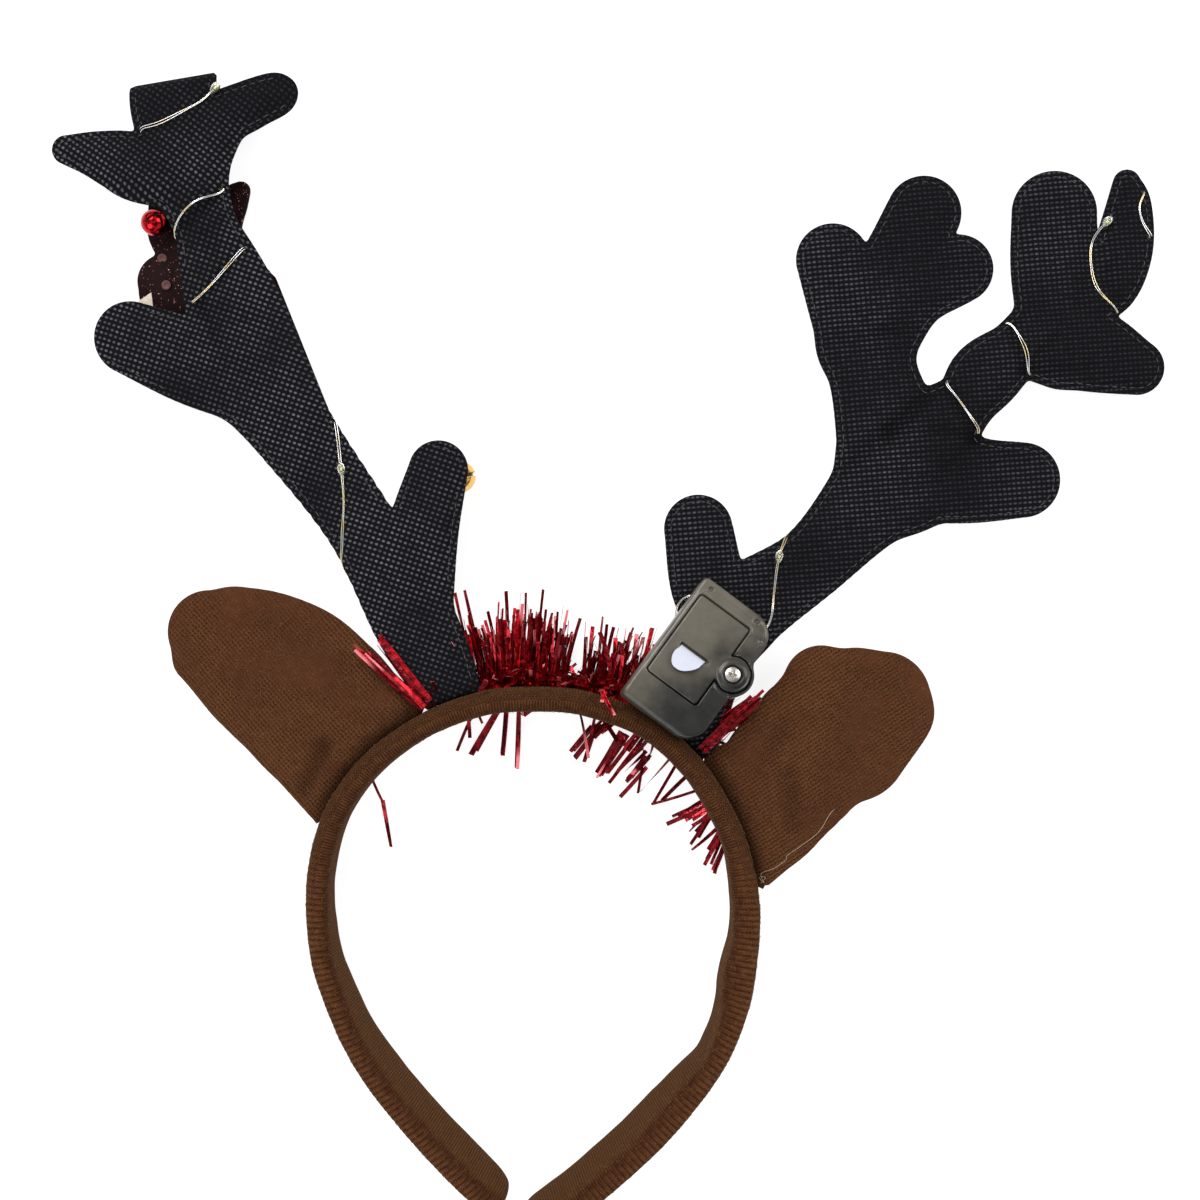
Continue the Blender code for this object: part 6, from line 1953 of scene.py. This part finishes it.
class TinselSettings(bpy.types.PropertyGroup):
    """The garland's strips."""
    width: length_property("Strip width", "Width of a strip", 0.0013)
    fullness: bpy.props.FloatProperty(name="Fullness", description="Share of the strips that are made",
                                      default=1.0, min=0.05, max=3.0, subtype="FACTOR")
    bright: color_property("Bright film", "The brightest strips", (0.95, 0.02, 0.035, 1.0))
    # The dark film is also where the painted shade of low-lying strips leads.
    dark: color_property("Dark film", "The darkest strips", (0.07, 0.0015, 0.005, 1.0))


class BoxSettings(bpy.types.PropertyGroup):
    """The battery box."""
    # Plastic is the lit side of the case's painted reflection, and dark its unlit side.
    plastic: color_property("Plastic", "The case's plastic", (0.115, 0.102, 0.078, 1.0))
    dark: color_property("Dark plastic", "The plastic where it is darkest", (0.0075, 0.0078, 0.0068, 1.0))


class StageSettings(bpy.types.PropertyGroup):
    """The light round the headband."""
    light: bpy.props.FloatProperty(name="Light", description="Strength of the soft lights", default=1.0,
                                   min=0.0, max=10.0, subtype="FACTOR")
    surround: bpy.props.FloatProperty(name="Surround", description="Brightness of what lies around",
                                      default=0.42, min=0.0, max=4.0, subtype="FACTOR")


class HeadbandSettings(bpy.types.PropertyGroup):
    """All settings of the headband."""
    knit: bpy.props.PointerProperty(name="Knit", description="The band's and ears' knit", type=KnitSettings)
    antler: bpy.props.PointerProperty(name="Antlers", description="The antlers' cloth", type=AntlerSettings)
    tinsel: bpy.props.PointerProperty(name="Tinsel", description="The garland's strips", type=TinselSettings)
    box: bpy.props.PointerProperty(name="Box", description="The battery box", type=BoxSettings)
    stage: bpy.props.PointerProperty(name="Stage", description="The light", type=StageSettings)


# Operators

class HEADBAND_OT_band(bpy.types.Operator):
    """Make the knit-covered band"""
    bl_idname = "headband.band"
    bl_label = "Band"

    def execute(self, context):
        build_band()
        return {"FINISHED"}


class HEADBAND_OT_antler_right(bpy.types.Operator):
    """Make the right antler and its topstitch"""
    bl_idname = "headband.antler_right"
    bl_label = "Right Antler"

    def execute(self, context):
        build_antler_right()
        return {"FINISHED"}


class HEADBAND_OT_antler_left(bpy.types.Operator):
    """Make the left antler with its folded branch and lobe"""
    bl_idname = "headband.antler_left"
    bl_label = "Left Antler"

    def execute(self, context):
        build_antler_left()
        return {"FINISHED"}


class HEADBAND_OT_ears(bpy.types.Operator):
    """Make the two ears"""
    bl_idname = "headband.ears"
    bl_label = "Ears"

    def execute(self, context):
        build_ears()
        return {"FINISHED"}


class HEADBAND_OT_tinsel(bpy.types.Operator):
    """Make the tinsel garland"""
    bl_idname = "headband.tinsel"
    bl_label = "Tinsel"

    def execute(self, context):
        build_tinsel()
        return {"FINISHED"}


class HEADBAND_OT_box(bpy.types.Operator):
    """Make the battery box, its door, screw and pull tab"""
    bl_idname = "headband.box"
    bl_label = "Battery Box"

    def execute(self, context):
        build_box()
        return {"FINISHED"}


class HEADBAND_OT_bells(bpy.types.Operator):
    """Make the two bells"""
    bl_idname = "headband.bells"
    bl_label = "Bells"

    def execute(self, context):
        build_bells()
        return {"FINISHED"}


class HEADBAND_OT_lights(bpy.types.Operator):
    """Make the string of lights, after the cloth and the box that it lies on"""
    bl_idname = "headband.lights"
    bl_label = "Lights"

    def execute(self, context):
        build_lights()
        return {"FINISHED"}


class HEADBAND_OT_trim(bpy.types.Operator):
    """Make the cream flap and the loose thread"""
    bl_idname = "headband.trim"
    bl_label = "Flap and Thread"

    def execute(self, context):
        build_flap()
        build_loose_thread()
        return {"FINISHED"}


class HEADBAND_OT_stage(bpy.types.Operator):
    """Make the floor, the lights and the camera"""
    bl_idname = "headband.stage"
    bl_label = "Stage"

    def execute(self, context):
        build_stage()
        return {"FINISHED"}


class HEADBAND_PT_panel(bpy.types.Panel):
    """The headband's settings and pieces"""
    bl_idname = "HEADBAND_PT_panel"
    bl_label = "Headband"
    bl_space_type = "VIEW_3D"
    bl_region_type = "UI"
    bl_category = "Headband"

    def draw(self, context):
        given = context.scene.headband
        for group in (given.knit, given.antler, given.tinsel, given.box, given.stage):
            column = self.layout.column()
            for key in group.bl_rna.properties.keys():
                if key not in ("rna_type", "name"):
                    column.prop(group, key)
        for operator in OPERATORS:
            self.layout.operator(operator.bl_idname)


OPERATORS = (HEADBAND_OT_band, HEADBAND_OT_antler_right, HEADBAND_OT_antler_left, HEADBAND_OT_ears,
             HEADBAND_OT_tinsel, HEADBAND_OT_box, HEADBAND_OT_bells, HEADBAND_OT_lights, HEADBAND_OT_trim,
             HEADBAND_OT_stage)
CLASSES = (KnitSettings, AntlerSettings, TinselSettings, BoxSettings, StageSettings, HeadbandSettings,
           *OPERATORS, HEADBAND_PT_panel)


def register():
    """Make the settings, operators and panel known."""
    for item in CLASSES:
        bpy.utils.register_class(item)
    bpy.types.Scene.headband = bpy.props.PointerProperty(type=HeadbandSettings)


def unregister():
    """Take the settings, operators and panel away."""
    del bpy.types.Scene.headband
    for item in reversed(CLASSES):
        bpy.utils.unregister_class(item)


def main():
    """Make every piece in order, and note the sizes before and after."""
    register()
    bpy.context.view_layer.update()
    bpy.ops.headband.band()
    bpy.ops.headband.antler_right()
    bpy.ops.headband.antler_left()
    bpy.ops.headband.ears()
    bpy.ops.headband.tinsel()
    bpy.ops.headband.box()
    bpy.ops.headband.bells()
    bpy.ops.headband.lights()
    bpy.ops.headband.trim()
    bpy.ops.headband.stage()


if __name__ == "__main__":
    main()
